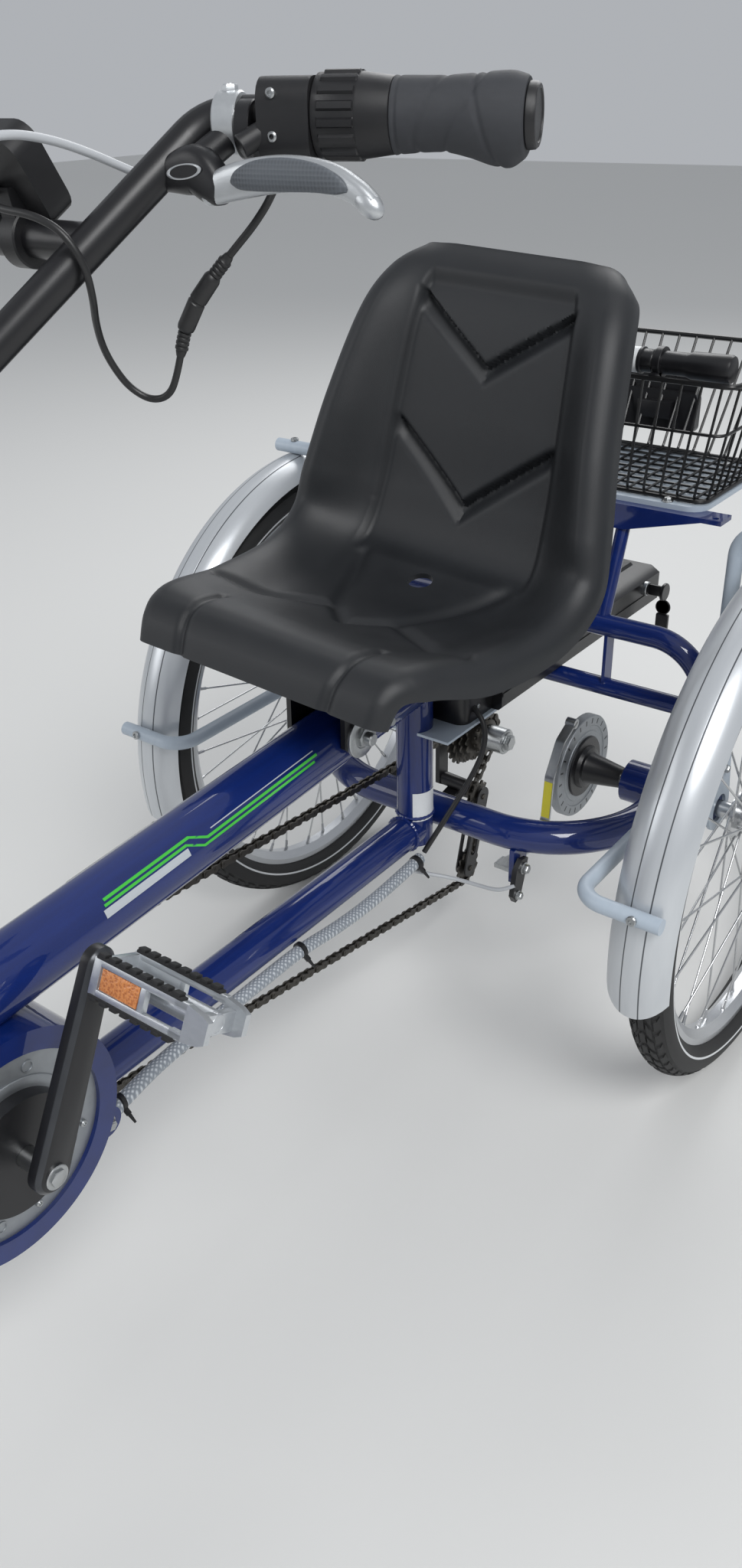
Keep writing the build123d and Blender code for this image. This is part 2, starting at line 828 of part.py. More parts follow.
def seat_shell():
    """A lofted bucket: flat in the middle and raised at both sides."""
    with BuildPart() as shell:
        for y, z, lean, half, flat, rise in seat_rows:
            turn = radians(lean)
            plane = Plane(origin=at(0, y, z), x_dir=(1, 0, 0), z_dir=(0, -cos(turn), -sin(turn)))
            with BuildSketch(plane):
                with BuildLine():
                    Polyline(
                        (-half, rise),
                        (-flat, 0),
                        (flat, 0),
                        (half, rise),
                        (half, rise - 1.4 * seat_thick),
                        (flat, -seat_thick),
                        (-flat, -seat_thick),
                        (-half, rise - 1.4 * seat_thick),
                        close=True,
                    )
                make_face()
        loft()
    return shell.part


seat_solid = seat_shell()
seat_axis = Axis(at(0, seat_mid_y, seat_mid_z), (0, 1, 0))
with BuildPart() as seat:
    add(seat_solid.rotate(seat_axis, seat_roll))
seat.part.label = "seat"
export_step(seat.part, "parts/seat.step")

# Carriage that clamps the seat to the upper tube
carriage_side_in = upper_diameter / 2 - 0.5
carriage_side_out = carriage_side_in + 6
carriage_plates = [
    block((carriage_side_in, carriage_side_out), (-400, -200), (450, 562)),
    block((-carriage_side_out, -carriage_side_in), (-400, -200), (450, 562)),
]
carriage_top = block((-85, 85), (-370, -240), (556, 573)).rotate(seat_axis, seat_roll)
with BuildPart() as seat_carriage:
    add(carriage_plates)
    add(carriage_top)
    add(upper_tube.part, mode=Mode.SUBTRACT)
    add(seat.part, mode=Mode.SUBTRACT)
seat_carriage.part.label = "seat_carriage"
export_step(seat_carriage.part, "parts/seat_carriage.step")

# Rack and basket behind the seat
rack_z = 620.0
rack_plate = block((-150, 150), (36, 220), (rack_z, rack_z + 5))
rack_beam = block((-220, 220), (26, 56), (rack_z - 14, rack_z))
eye_x = 211.0
eye_y = 34.0
eye_diameter = 6.4
rack_eyes = [
    rod(at(x, eye_y, rack_z - 20), at(x, eye_y, rack_z + 20), eye_diameter) for x in (-eye_x, eye_x)
]
rack_struts = [
    rod(at(x, 0, hoop_top_z), at(x, 40, rack_z - 6), 16) for x in (-105, 105)
]
with BuildPart() as rack:
    add([rack_plate, rack_beam])
    add(rack_struts)
    add(hoop_bar, mode=Mode.SUBTRACT)
    add(rack_eyes, mode=Mode.SUBTRACT)
rack.part.label = "rack"
export_step(rack.part, "parts/rack.step")

basket_low = rack_z + 5
basket_high = 752.0
basket_bottom = (190.0, 50.0, 228.0)
basket_top = (212.0, 44.0, 282.0)


def basket_solid(inset):
    """The basket's tapered shape, taken in by a wall."""
    with BuildPart() as solid:
        for (half, y0, y1), z in ((basket_bottom, basket_low + inset), (basket_top, basket_high + inset)):
            with BuildSketch(Plane(origin=at(0, (y0 + y1) / 2, z), x_dir=(1, 0, 0), z_dir=(0, 0, 1))):
                Rectangle(2 * (half - inset), y1 - y0 - 2 * inset)
        loft()
    return solid.part


basket_outer = basket_solid(0)
basket_inner = basket_solid(4)
with BuildPart() as basket:
    add(basket_outer)
    add(basket_inner, mode=Mode.SUBTRACT)
basket.part.label = "basket"
export_step(basket.part, "parts/basket.step")
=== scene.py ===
"""The looks of a recumbent trike with two wheels behind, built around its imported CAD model."""
from math import asin, atan2, cos, exp, hypot, pi, radians, sin, sqrt, tan

import bmesh
import bpy
from mathutils import Matrix, Vector


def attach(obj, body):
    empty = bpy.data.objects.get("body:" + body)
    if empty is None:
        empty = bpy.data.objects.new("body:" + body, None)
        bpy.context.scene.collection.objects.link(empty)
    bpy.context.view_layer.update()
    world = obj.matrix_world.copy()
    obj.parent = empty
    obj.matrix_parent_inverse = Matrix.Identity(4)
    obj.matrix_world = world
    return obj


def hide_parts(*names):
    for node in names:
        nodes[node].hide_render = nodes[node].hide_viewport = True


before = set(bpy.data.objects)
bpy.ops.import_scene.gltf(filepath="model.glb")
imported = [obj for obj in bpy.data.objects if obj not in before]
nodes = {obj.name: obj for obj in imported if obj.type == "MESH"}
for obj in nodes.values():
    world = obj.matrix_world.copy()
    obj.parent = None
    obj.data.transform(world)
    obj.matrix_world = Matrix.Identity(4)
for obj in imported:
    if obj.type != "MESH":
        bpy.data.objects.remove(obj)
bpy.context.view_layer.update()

# Camera
# A phone held at head height, ahead of the trike and to its left, looking down and back.
# Its place and turn were solved from the wheels and the frame in the photograph.
camera_data = bpy.data.cameras.new("camera")
camera_data.sensor_width = 36.0
camera_data.lens = 28.34
camera_data.clip_start = 0.05
camera_data.clip_end = 60.0
camera = bpy.data.objects.new("camera", camera_data)
bpy.context.scene.collection.objects.link(camera)
camera_right = Vector((0.80247, 0.59628, -0.02211))
camera_up = Vector((-0.28458, 0.41503, 0.86415))
camera_back = Vector((0.52445, -0.68717, 0.50274))
camera_turn = Matrix((camera_right, camera_up, camera_back)).transposed().to_4x4()
camera.matrix_world = Matrix.Translation((0.68074, -0.58472, 1.04023)) @ camera_turn
bpy.context.scene.camera = camera
bpy.context.scene.view_settings.view_transform = "Standard"


# Floor and light
# A pale sweep under the trike, one large soft lamp above to the left, weaker ones in front and
# behind, and a pale world that fills the shadows as an open sky does.
def linear(code):
    """An sRGB colour written as six hex digits, as the linear colour a shader takes."""
    parts = [int(code[i : i + 2], 16) / 255 for i in (0, 2, 4)]
    mixed = [p / 12.92 if p <= 0.04045 else ((p + 0.055) / 1.055) ** 2.4 for p in parts]
    return (*mixed, 1.0)


def add_node(material, kind, settings=None, links=None):
    """One shader node with its settings and the sockets that feed it."""
    tree = material.node_tree
    node = tree.nodes.new(kind)
    for key, value in (settings or {}).items():
        if isinstance(key, str) and hasattr(node, key):
            setattr(node, key, value)
        else:
            node.inputs[key].default_value = value
    for key, source in (links or {}).items():
        tree.links.new(source, node.inputs[key])
    return node


def new_material(name):
    """An empty material and its output node."""
    material = bpy.data.materials.new(name)
    material.use_nodes = True
    material.node_tree.nodes.clear()
    return material, add_node(material, "ShaderNodeOutputMaterial")


def join(material, source, target, socket):
    """One link from a node's socket to another's input."""
    material.node_tree.links.new(source, target.inputs[socket])


def two_tone(material, one, other, share):
    """A colour between two, by a share that varies over the surface."""
    settings = {"data_type": "RGBA", 6: linear(one), 7: linear(other)}
    return add_node(material, "ShaderNodeMix", settings, {0: share}).outputs[2]


def bumped(material, strength, distance, height):
    """A bump from a height that varies over the surface."""
    settings = {"Strength": strength, "Distance": distance}
    return add_node(material, "ShaderNodeBump", settings, {"Height": height}).outputs[0]


def finish_skin(material, out, settings, links):
    """The surface of a finish, joined to its output."""
    skin = add_node(material, "ShaderNodeBsdfPrincipled", settings, links)
    join(material, skin.outputs[0], out, "Surface")


floor_paint, floor_out = new_material("studio_floor")
floor_grain = add_node(floor_paint, "ShaderNodeTexNoise", {"Scale": 3.0, "Detail": 3.0})
floor_tone = two_tone(floor_paint, "dcdcda", "d4d4d2", floor_grain.outputs[0])
finish_skin(floor_paint, floor_out, {"Roughness": 0.7}, {"Base Color": floor_tone})
floor_mesh = bpy.data.meshes.new("floor")
floor_mesh.from_pydata([(-14, -14, 0), (14, -14, 0), (14, 14, 0), (-14, 14, 0)], [], [(0, 1, 2, 3)])
floor = bpy.data.objects.new("floor", floor_mesh)
bpy.context.scene.collection.objects.link(floor)
floor_mesh.materials.append(floor_paint)

world = bpy.data.worlds.new("studio")
bpy.context.scene.world = world
world.use_nodes = True
world_light = world.node_tree.nodes["Background"]
world_light.inputs["Color"].default_value = linear("eef2f8")
world_light.inputs["Strength"].default_value = 0.5

lamp_rows = [
    ("lamp_key", (2.6, -1.4, 3.6), (0.0, 0.2, 0.3), 1.8, 130.0),
    ("lamp_fill", (-2.8, -2.6, 2.2), (0.0, 0.1, 0.4), 2.0, 26.0),
    ("lamp_back", (-1.0, 3.2, 3.0), (0.0, 0.2, 0.4), 2.2, 48.0),
]
for lamp_name, lamp_place, lamp_aim, lamp_size, lamp_watts in lamp_rows:
    lamp_data = bpy.data.lights.new(lamp_name, "AREA")
    lamp_data.shape = "SQUARE"
    lamp_data.size = lamp_size
    lamp_data.energy = lamp_watts
    lamp = bpy.data.objects.new(lamp_name, lamp_data)
    bpy.context.scene.collection.objects.link(lamp)
    lamp.location = lamp_place
    lamp.rotation_mode = "QUATERNION"
    lamp.rotation_quaternion = (Vector(lamp_aim) - Vector(lamp_place)).to_track_quat("-Z", "Y")

# Shared places and helpers
# Lengths and places in mm that many pieces use: the rear axle, the middle of the front wheel, the
# crank spindle and its arms. The functions turn rows of such numbers into finishes and pieces.
axle_back = 607.5
axle_height = 300.5
rear_track = 319.0
front_y, front_z = -1290.0, 250.0
crank_y, crank_z = -816.0, 320.0
crank_length = 170.0
crank_degrees = 63.5


def place(x, y, z):
    """Millimetres left of, behind and above the rear axle line's foot, in the shared frame."""
    return Vector((x / 1000, (y + axle_back) / 1000, z / 1000))


def moulded(name, base, worn, roughness, grain_mm, depth, metallic=0.0, coat=0.0):
    """A fine-grained skin: two close colours, a grain in its bump and a little in its gloss."""
    material, out = new_material(name)
    grain = add_node(material, "ShaderNodeTexNoise", {"Scale": 1000 / grain_mm, "Detail": 2.0})
    drift = add_node(material, "ShaderNodeTexNoise", {"Scale": 14.0, "Detail": 5.0})
    tone = two_tone(material, base, worn, drift.outputs[0])
    gloss = add_node(
        material,
        "ShaderNodeMapRange",
        {"To Min": roughness - 0.06, "To Max": roughness + 0.06},
        {"Value": grain.outputs[0]},
    )
    bump = bumped(material, depth, 0.0004, grain.outputs[0])
    settings = {"Metallic": metallic, "Coat Weight": coat, "Coat Roughness": 0.08}
    links = {"Base Color": tone, "Roughness": gloss.outputs[0], "Normal": bump}
    finish_skin(material, out, settings, links)
    return material


def make_piece(name, body, points, faces, materials, slot="", stands_for=""):
    """A mesh piece in metres that rides on a body; each face may name its finish by number."""
    mesh = bpy.data.meshes.new(name)
    mesh.from_pydata(
        [tuple(p) for p in points], [], [tuple(f[0]) if isinstance(f[0], tuple) else f for f in faces]
    )
    for material in materials:
        mesh.materials.append(material)
    for polygon, face in zip(mesh.polygons, faces):
        if isinstance(face[0], tuple):
            polygon.material_index = face[1]
        polygon.use_smooth = True
    mesh.set_sharp_from_angle(angle=radians(38))
    mesh.update()
    piece = bpy.data.objects.new(name, mesh)
    bpy.context.scene.collection.objects.link(piece)
    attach(piece, body)
    fix_normals(mesh)
    if stands_for:
        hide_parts(*stands_for.split())
    return piece


def fix_normals(mesh):
    """Turns every face of a mesh outward."""
    body = bmesh.new()
    body.from_mesh(mesh)
    bmesh.ops.recalc_face_normals(body, faces=body.faces[:])
    body.to_mesh(mesh)
    body.free()


def ring_walls(rows, steps):
    """The faces between rows of points, each row a closed ring."""
    faces = []
    for row in range(rows - 1):
        near, far = row * steps, (row + 1) * steps
        for step in range(steps):
            after = (step + 1) % steps
            faces.append((near + step, near + after, far + after, far + step))
    return faces


def closed_rings(rows, steps):
    """The faces between rows of points and over both ends."""
    ends = [tuple(reversed(range(steps))), tuple(range((rows - 1) * steps, rows * steps))]
    return ring_walls(rows, steps) + ends


def turned(start, axis, rows, steps=24):
    """Points and faces of a turned shape: rows of (along, radius) in millimetres from a start."""
    axis = Vector(axis).normalized()
    side = axis.orthogonal().normalized()
    other = axis.cross(side)
    points = []
    for along, radius in rows:
        for step in range(steps):
            turn = 2 * pi * step / steps
            points.append(start + (axis * along + (side * cos(turn) + other * sin(turn)) * radius) / 1000)
    return points, closed_rings(len(rows), steps)


def gather(shapes):
    """Several (points, faces) shapes as one."""
    points, faces = [], []
    for more_points, more_faces in shapes:
        first = len(points)
        points.extend(more_points)
        faces.extend(tuple(index + first for index in face) for face in more_faces)
    return points, faces


def painted(shape, finish):
    """A (points, faces) shape whose faces all name one finish."""
    return shape[0], [(face, finish) for face in shape[1]]


def gather_painted(shapes):
    """Several shapes whose faces name their finish, as one."""
    points, faces = [], []
    for more_points, more_faces in shapes:
        first = len(points)
        points += more_points
        faces += [(tuple(index + first for index in face), finish) for face, finish in more_faces]
    return points, faces


# Cables
# Six sheathed cables: the display's lead with its moulded plug, a brake cable from each lever to
# the riser, and on the lower frame the power cable, the braided sleeve and the drum's own cable.
def lay_cord(name, body, material, diameter, route, joint=None):
    """A smooth line through a cable's route in millimetres, with the joint moulded on it if any."""
    curve = bpy.data.curves.new(name, "CURVE")
    curve.dimensions = "3D"
    curve.bevel_depth = diameter / 2000
    curve.bevel_resolution = 4
    curve.resolution_u = 8
    curve.use_fill_caps = True
    line = curve.splines.new("NURBS")
    line.points.add(len(route) - 1)
    for point, row in zip(line.points, route):
        point.co = (*place(*row), 1.0)
    line.order_u = 3
    line.use_endpoint_u = True
    curve.materials.append(material)
    piece = bpy.data.objects.new(name, curve)
    bpy.context.scene.collection.objects.link(piece)
    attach(piece, body)
    pieces_on_it = [joint(material, piece)] if joint else []
    place(*route[0])


def cord_points(cord):
    """Points read along a cord's own smooth line, without its thickness."""
    bare_curve = cord.data.copy()
    bare_curve.bevel_depth = 0.0
    bare = bpy.data.objects.new("bare_line", bare_curve)
    line = bpy.data.meshes.new_from_object(bare)
    points = [vertex.co.copy() for vertex in line.vertices]
    bpy.data.meshes.remove(line)
    bpy.data.objects.remove(bare)
    bpy.data.curves.remove(bare_curve)
    return points


def moulded_plug(material, cord):
    """The lead's joint, moulded on the lead: two tapered ribbed ends and a plain sleeve between."""
    line = cord_points(cord)
    gone = [0.0]
    for before, after in zip(line, line[1:]):
        gone.append(gone[-1] + (after - before).length * 1000)
    middle = place(130, -629, 921)
    nearest = min(range(len(line)), key=lambda number: (line[number] - middle).length)
    start = gone[nearest] - 36
    rows = [(0, 2.6), (3, 3.4)]
    for rib in range(4):
        rows += [(4 + 3 * rib, 3.4), (4.6 + 3 * rib, 4.1), (6 + 3 * rib, 4.1), (6.6 + 3 * rib, 3.4)]
    rows += [(17, 5.0), (19, 5.4), (35, 5.4), (35.6, 4.9), (36.6, 4.9), (37.2, 5.4), (53, 5.2), (55, 4.4)]
    for rib in range(4):
        rows += [(56 + 3 * rib, 3.4), (56.6 + 3 * rib, 4.1), (58 + 3 * rib, 4.1), (58.6 + 3 * rib, 3.4)]
    rows += [(70, 3.0), (71.5, 2.5)]
    steps = 24
    points = []
    for along, radius in rows:
        number = 1
        while number < len(line) - 1 and gone[number] < start + along:
            number += 1
        share = (start + along - gone[number - 1]) / (gone[number] - gone[number - 1])
        spot = line[number - 1].lerp(line[number], share)
        run = (line[min(number + 1, len(line) - 1)] - line[max(number - 2, 0)]).normalized()
        side = run.cross(Vector((0, 1, 0))).normalized()
        other = run.cross(side)
        for step in range(steps):
            turn = 2 * pi * step / steps
            points.append(spot + (side * cos(turn) + other * sin(turn)) * radius / 1000)
    faces = closed_rings(len(rows), steps)
    return make_piece("display_lead_plug", "steering", points, faces, [material], "black_plastic")


# PVC sheath: smooth black plastic with a dull shine.
pvc_sheath = moulded("black_pvc_sheath", "161617", "1f1f20", 0.42, 1.0, 0.1)
# Pale cable housing: grey plastic over a steel coil, a little glossy.
pale_sheath = moulded("pale_cable_housing", "b9bcbf", "a9acb0", 0.38, 1.0, 0.1)

display_lead_route = [
    (30, -683, 985),
    (36, -698, 978),
    (56, -704, 975),
    (80, -702, 973),
    (99, -698, 965),
    (107, -692, 947),
    (101, -684, 928),
    (88, -673, 912),
    (78, -661, 895),
    (76, -652, 881),
    (79, -644, 868),
    (90, -637, 860),
    (104, -634, 864),
    (112, -633, 879),
    (122, -631.5, 911),
    (140, -626, 934),
    (156, -622.5, 950),
    (169, -617, 964),
    (177, -609, 979),
    (180, -599, 997),
]
lay_cord(
    "display_lead_sheath", "steering", pvc_sheath, 4.5, display_lead_route, moulded_plug
)

brake_cable_route = [
    (102, -630, 986),
    (91, -641, 993),
    (85, -661, 1002),
    (83, -687, 1010),
    (83, -716, 1014),
    (76, -752, 1008),
    (62, -792, 986),
    (42, -832, 948),
    (23, -866, 896),
    (11, -895, 838),
    (9, -909, 778),
]
for side_name, side in (("left", 1), ("right", -1)):
    route = [(side * x, y, z) for x, y, z in brake_cable_route]
    lay_cord("brake_sheath_" + side_name, "steering", pale_sheath, 5.0, route)

power_cable_route = [
    (46, -176, 440),
    (58, -177, 432),
    (66, -180, 415),
    (66, -185, 394),
    (60, -193, 371),
    (52, -203, 348),
    (43, -215, 324),
    (34, -227, 301),
    (25, -238, 278),
]
lay_cord("power_cable_sheath", "chassis", pvc_sheath, 6.0, power_cable_route)

drum_cable_route = [
    (9, -252, 256),
    (24, -232, 245),
    (49, -215, 239),
    (76, -210, 238),
    (99, -210, 240),
    (112, -208, 244),
    (122, -202, 250),
]
lay_cord("drum_cable_sheath", "chassis", pale_sheath, 4.5, drum_cable_route)

# Braided polyester sleeve: grey and white yarns that cross, about 2 mm a stitch.
braid, braid_out = new_material("braided_polyester_sleeve")
braid_place = add_node(braid, "ShaderNodeTexCoord")
braid_waves = []
for braid_turn in (35.0, -35.0):
    braid_map = add_node(
        braid,
        "ShaderNodeMapping",
        {"Rotation": (0.0, 0.0, radians(braid_turn))},
        {"Vector": braid_place.outputs["Object"]},
    )
    braid_wave = add_node(
        braid,
        "ShaderNodeTexWave",
        {"Scale": 95.0, "Distortion": 1.5, "Detail": 1.0},
        {"Vector": braid_map.outputs[0]},
    )
    braid_waves.append(braid_wave)
braid_weave = add_node(
    braid,
    "ShaderNodeMath",
    {"operation": "MULTIPLY"},
    {0: braid_waves[0].outputs[1], 1: braid_waves[1].outputs[1]},
)
braid_tone = two_tone(braid, "7f868e", "cfd4d9", braid_weave.outputs[0])
braid_bump = bumped(braid, 0.6, 0.0006, braid_weave.outputs[0])
finish_skin(
    braid,
    braid_out,
    {"Roughness": 0.6, "Sheen Weight": 0.2},
    {"Base Color": braid_tone, "Normal": braid_bump},
)
sleeve_route = [
    (18, -236, 266),
    (17, -285, 260),
    (15, -340, 256),
    (17, -395, 262),
    (20, -450, 273),
    (21, -505, 274),
    (20.5, -565, 273),
    (20, -625, 274),
    (21, -680, 270),
    (24, -724, 262),
]
lay_cord("sleeve_braid", "chassis", braid, 14.0, sleeve_route)

# Nylon ties hold the sleeve to the lower tube, near its middle and at both ends.
tie_rows = [
    ((20, -450, 273), (0.05, 1, 0.0), 7.6),
    ((20, -246, 266), (0.05, 1, 0.1), 7.8),
    ((22, -700, 267), (0.05, 1, -0.12), 7.6),
]
tie_shapes = []
for tie_middle, tie_axis, tie_radius in tie_rows:
    tie_shapes.append(
        turned(
            place(*tie_middle),
            tie_axis,
            [(-2.4, tie_radius), (-2.0, tie_radius + 1), (2.0, tie_radius + 1), (2.4, tie_radius)],
        )
    )
    tie_shapes.append(
        turned(
            place(tie_middle[0] + 7, tie_middle[1], tie_middle[2] - 6),
            (1, 0, -0.8),
            [(-3, 3), (4, 3), (4.5, 2), (13, 1.2)],
            6,
        )
    )
make_piece("cable_ties", "chassis", *gather(tie_shapes), [pvc_sheath], "black_plastic")


# Frame
# Steel tubes, welded and stoved in gloss navy with a fine metal flake under a clear coat,
# which gives sharp reflections over a deep, slightly uneven blue.
def dress(names, material, *others):
    """Gives CAD nodes a finish, and others to the faces whose middle passes a test in mm."""
    for name in names.split():
        mesh = nodes[name].data
        mesh.materials.clear()
        mesh.materials.append(material)
        for other, test in others:
            mesh.materials.append(other)
        for polygon in mesh.polygons:
            polygon.material_index = 0
            middle = polygon.center * 1000
            for number, (other, test) in enumerate(others):
                if test(middle.x, middle.y - axle_back, middle.z):
                    polygon.material_index = number + 1


def gloss_paint(name, deep, light, flake_mm):
    """A two-tone flake paint under a clear coat."""
    material, out = new_material(name)
    flake = add_node(material, "ShaderNodeTexVoronoi", {"Scale": 1000 / flake_mm})
    drift = add_node(material, "ShaderNodeTexNoise", {"Scale": 9.0, "Detail": 4.0})
    share = add_node(
        material,
        "ShaderNodeMath",
        {"operation": "MULTIPLY"},
        {0: flake.outputs["Distance"], 1: drift.outputs[0]},
    )
    tone = two_tone(material, deep, light, share.outputs[0])
    ripple = add_node(material, "ShaderNodeTexNoise", {"Scale": 60.0, "Detail": 2.0})
    bump = bumped(material, 0.08, 0.0006, ripple.outputs[0])
    settings = {"Roughness": 0.5, "Specular IOR Level": 0.2, "Coat Weight": 1.0, "Coat Roughness": 0.03}
    finish_skin(material, out, settings, {"Base Color": tone, "Normal": bump})
    return material


navy_gloss = gloss_paint("navy_gloss_stove_enamel", "04184e", "0b3084", 1.2)
dress(
    "head_tube upper_tube seat_post lower_tube lower_loop rear_hoop cross_tube bearing_housings "
    "motor_shell fork",
    navy_gloss,
)

# Zinc plating: a soft grey metal, bright on the high spots.
zinc_plate = moulded("zinc_plated_steel", "c2c4c4", "a3a6a8", 0.30, 0.8, 0.12, 1.0)


def hex_bolt(start, axis, flats, head, washer=0.0):
    """A hexagon head with its corners turned off, on a washer where one is given."""
    axis = Vector(axis).normalized()
    shapes = []
    rise = 0.0
    if washer:
        shapes.append(
            turned(start, axis, [(-0.5, washer / 2), (1.1, washer / 2), (1.4, washer / 2 - 0.4)], 20)
        )
        rise = 1.4
    corner = flats / sqrt(3)
    rows = [(rise - 0.5, corner), (rise + head - 0.16 * flats, corner), (rise + head, corner * 0.84)]
    shapes.append(turned(start, axis, rows, 6))
    shapes.append(
        turned(start, axis, [(rise + head - 0.5, corner * 0.55), (rise + head + 0.4, corner * 0.5)], 16)
    )
    return gather(shapes)


def socket_screw(start, axis, width, head):
    """A round head with a hollow six-sided drive."""
    axis = Vector(axis).normalized()
    return turned(
        start,
        axis,
        [
            (-0.5, width / 2),
            (head - 0.8, width / 2),
            (head, width / 2 - 0.8),
            (head, width / 4),
            (head - 1.6, width / 4),
        ],
        16,
    )


# Pinstripes on both sides of the main tube: two green lines that step down, over a grey bar.
# Cut vinyl under the clear coat, so they lie on the tube and shine as it does.
tube_radius = 30.35
stripe_green = moulded("green_vinyl_stripe", "3fc03a", "35ad33", 0.3, 0.8, 0.02, 0.0, 0.8)
stripe_grey = moulded("silver_grey_vinyl", "b9bfc4", "adb3b9", 0.3, 0.8, 0.02, 0.0, 0.8)


def on_main_tube(side, y, rise):
    """A place on the main tube's skin: its y and how far round it from the side, in mm of arc."""
    slope = 0.0666
    middle = 440.0 + (y + 850.0) * slope
    turn = rise / tube_radius
    return place(
        side * tube_radius * cos(turn),
        y - slope * tube_radius * sin(turn),
        middle + tube_radius * sin(turn),
    )


def tube_band(side, rows):
    """A flat line on the tube from rows of (y, low edge, high edge) in mm of arc."""
    points, faces = [], []
    for (y0, low0, high0), (y1, low1, high1) in zip(rows, rows[1:]):
        pieces = max(1, int(abs(y1 - y0) / 12))
        for number in range(pieces + 1):
            share = number / pieces
            y = y0 + (y1 - y0) * share
            low = low0 + (low1 - low0) * share
            high = high0 + (high1 - high0) * share
            for step in range(4):
                points.append(on_main_tube(side, y, low + (high - low) * step / 3))
            if number:
                first = len(points) - 8
                for step in range(3):
                    quad = (first + step, first + 4 + step, first + 5 + step, first + 1 + step)
                    faces.append(quad if side < 0 else quad[::-1])
    return points, faces


# Lines as y, low edge, high edge along the tube
upper_line = [(-682, 21.8, 24.4), (-584, 22.6, 25.2), (-567, 13.2, 15.8), (-416, 15.2, 17.8)]
lower_line = [(-684, 17.4, 19.8), (-590, 18.2, 20.6), (-573, 8.6, 11.0), (-422, 10.6, 13.0)]
grey_bar = [(-687, 8.6, 15.8), (-590, 9.6, 16.6)]
thin_line = [(-560, 18.8, 19.8), (-418, 20.8, 21.8)]
green_bands = [tube_band(side, rows) for side in (-1, 1) for rows in (upper_line, lower_line)]
make_piece("green_pinstripes", "chassis", *gather(green_bands), [stripe_green], "frame")
grey_bands = [tube_band(side, rows) for side in (-1, 1) for rows in (grey_bar, thin_line)]
make_piece("grey_stripe_bar", "chassis", *gather(grey_bands), [stripe_grey], "frame")

# Blank white sticker low on the seat post, wrapped round its front left.
sticker_paper = moulded("white_film_sticker", "e4e6e8", "d9dcdf", 0.34, 1.0, 0.03)
sticker_radius = 20.55
sticker_steps = 12
sticker_points, sticker_faces = [], []
for row in range(2):
    for step in range(sticker_steps + 1):
        sticker_turn = radians(-62 + 92 * step / sticker_steps)
        sticker_points.append(
            place(
                sticker_radius * cos(sticker_turn),
                -220 + sticker_radius * sin(sticker_turn),
                312 + 36 * row,
            )
        )
for step in range(sticker_steps):
    above = step + sticker_steps + 1
    sticker_faces.append((step, step + 1, above + 1, above))
make_piece("post_sticker", "chassis", sticker_points, sticker_faces, [sticker_paper], "frame")


def slab(corners, near, far, spot, soft=0.8):
    """A flat plate: its outline in mm, its two faces, a placing function and its edge rounding."""
    count = len(corners)
    body = bmesh.new()
    rings = [[body.verts.new(spot(u, v, w)) for u, v in corners] for w in (near, far)]
    body.faces.new(rings[0])
    body.faces.new(rings[1][::-1])
    for index in range(count):
        after = (index + 1) % count
        body.faces.new((rings[0][index], rings[1][index], rings[1][after], rings[0][after]))
    if soft:
        sharp = [e for e in body.edges if len(e.link_faces) == 2 and e.calc_face_angle(0) > 0.6]
        bmesh.ops.bevel(
            body,
            geom=sharp,
            offset=soft / 1000,
            segments=2,
            affect="EDGES",
            profile=0.6,
            clamp_overlap=True,
        )
    body.verts.index_update()
    points = [vertex.co.copy() for vertex in body.verts]
    faces = [tuple(vertex.index for vertex in face.verts) for face in body.faces]
    body.free()
    return points, faces


def side_spot(u, v, w):
    """A plate that faces sideways: y, z, then x."""
    return place(w, u, v)


def front_spot(u, v, w):
    """A plate that faces forward: x, z, then y."""
    return place(u, w, v)


def arm_outline(y, z, length, degrees, big, small, steps=14):
    """The outline round two eyes of given radius, as (y, z)."""
    turn = radians(degrees)
    lean = asin((big - small) / length)
    outline = []
    for centre, radius, first, last in (
        (
            (y + length * cos(turn), z + length * sin(turn)),
            small,
            turn - pi / 2 + lean,
            turn + pi / 2 - lean,
        ),
        ((y, z), big, turn + pi / 2 - lean, turn + 1.5 * pi + lean),
    ):
        for number in range(steps + 1):
            angle = first + (last - first) * number / steps
            outline.append((centre[0] + radius * cos(angle), centre[1] + radius * sin(angle)))
    return outline


def round_corners(half_u, half_v, radius, middle=(0.0, 0.0), steps=5):
    """A rectangle with round corners, as (u, v)."""
    outline = []
    for corner, (su, sv) in enumerate(((1, 1), (-1, 1), (-1, -1), (1, -1))):
        for number in range(steps + 1):
            turn = radians(90 * corner + 90 * number / steps)
            outline.append(
                (
                    middle[0] + su * (half_u - radius) + radius * cos(turn),
                    middle[1] + sv * (half_v - radius) + radius * sin(turn),
                )
            )
    return outline


def rod(start, end, radius, steps=16):
    """A round bar between two places in metres, with its ends' edges taken off."""
    length = (end - start).length * 1000
    edge = min(0.6, radius * 0.2)
    rows = [(0, radius - edge), (edge, radius), (length - edge, radius), (length, radius - edge)]
    return turned(start, end - start, rows, steps)


def weld_ring(start, axis, radius, bead, waves):
    """A weld bead round a tube: a ring with the ripples of its runs."""
    axis = Vector(axis).normalized()
    side = axis.orthogonal().normalized()
    other = axis.cross(side)
    points, faces = [], []
    around, across = waves * 4, 6
    for step in range(around):
        turn = 2 * pi * step / around
        out = side * cos(turn) + other * sin(turn)
        swell = bead * (1 + 0.12 * cos(turn * waves))
        for number in range(across):
            angle = 2 * pi * number / across
            points.append(start + (out * (radius + swell * cos(angle)) + axis * swell * sin(angle)) / 1000)
    for step in range(around):
        near, far = step * across, (step + 1) % around * across
        for number in range(across):
            beside = (number + 1) % across
            faces.append((near + number, far + number, far + beside, near + beside))
    return points, faces


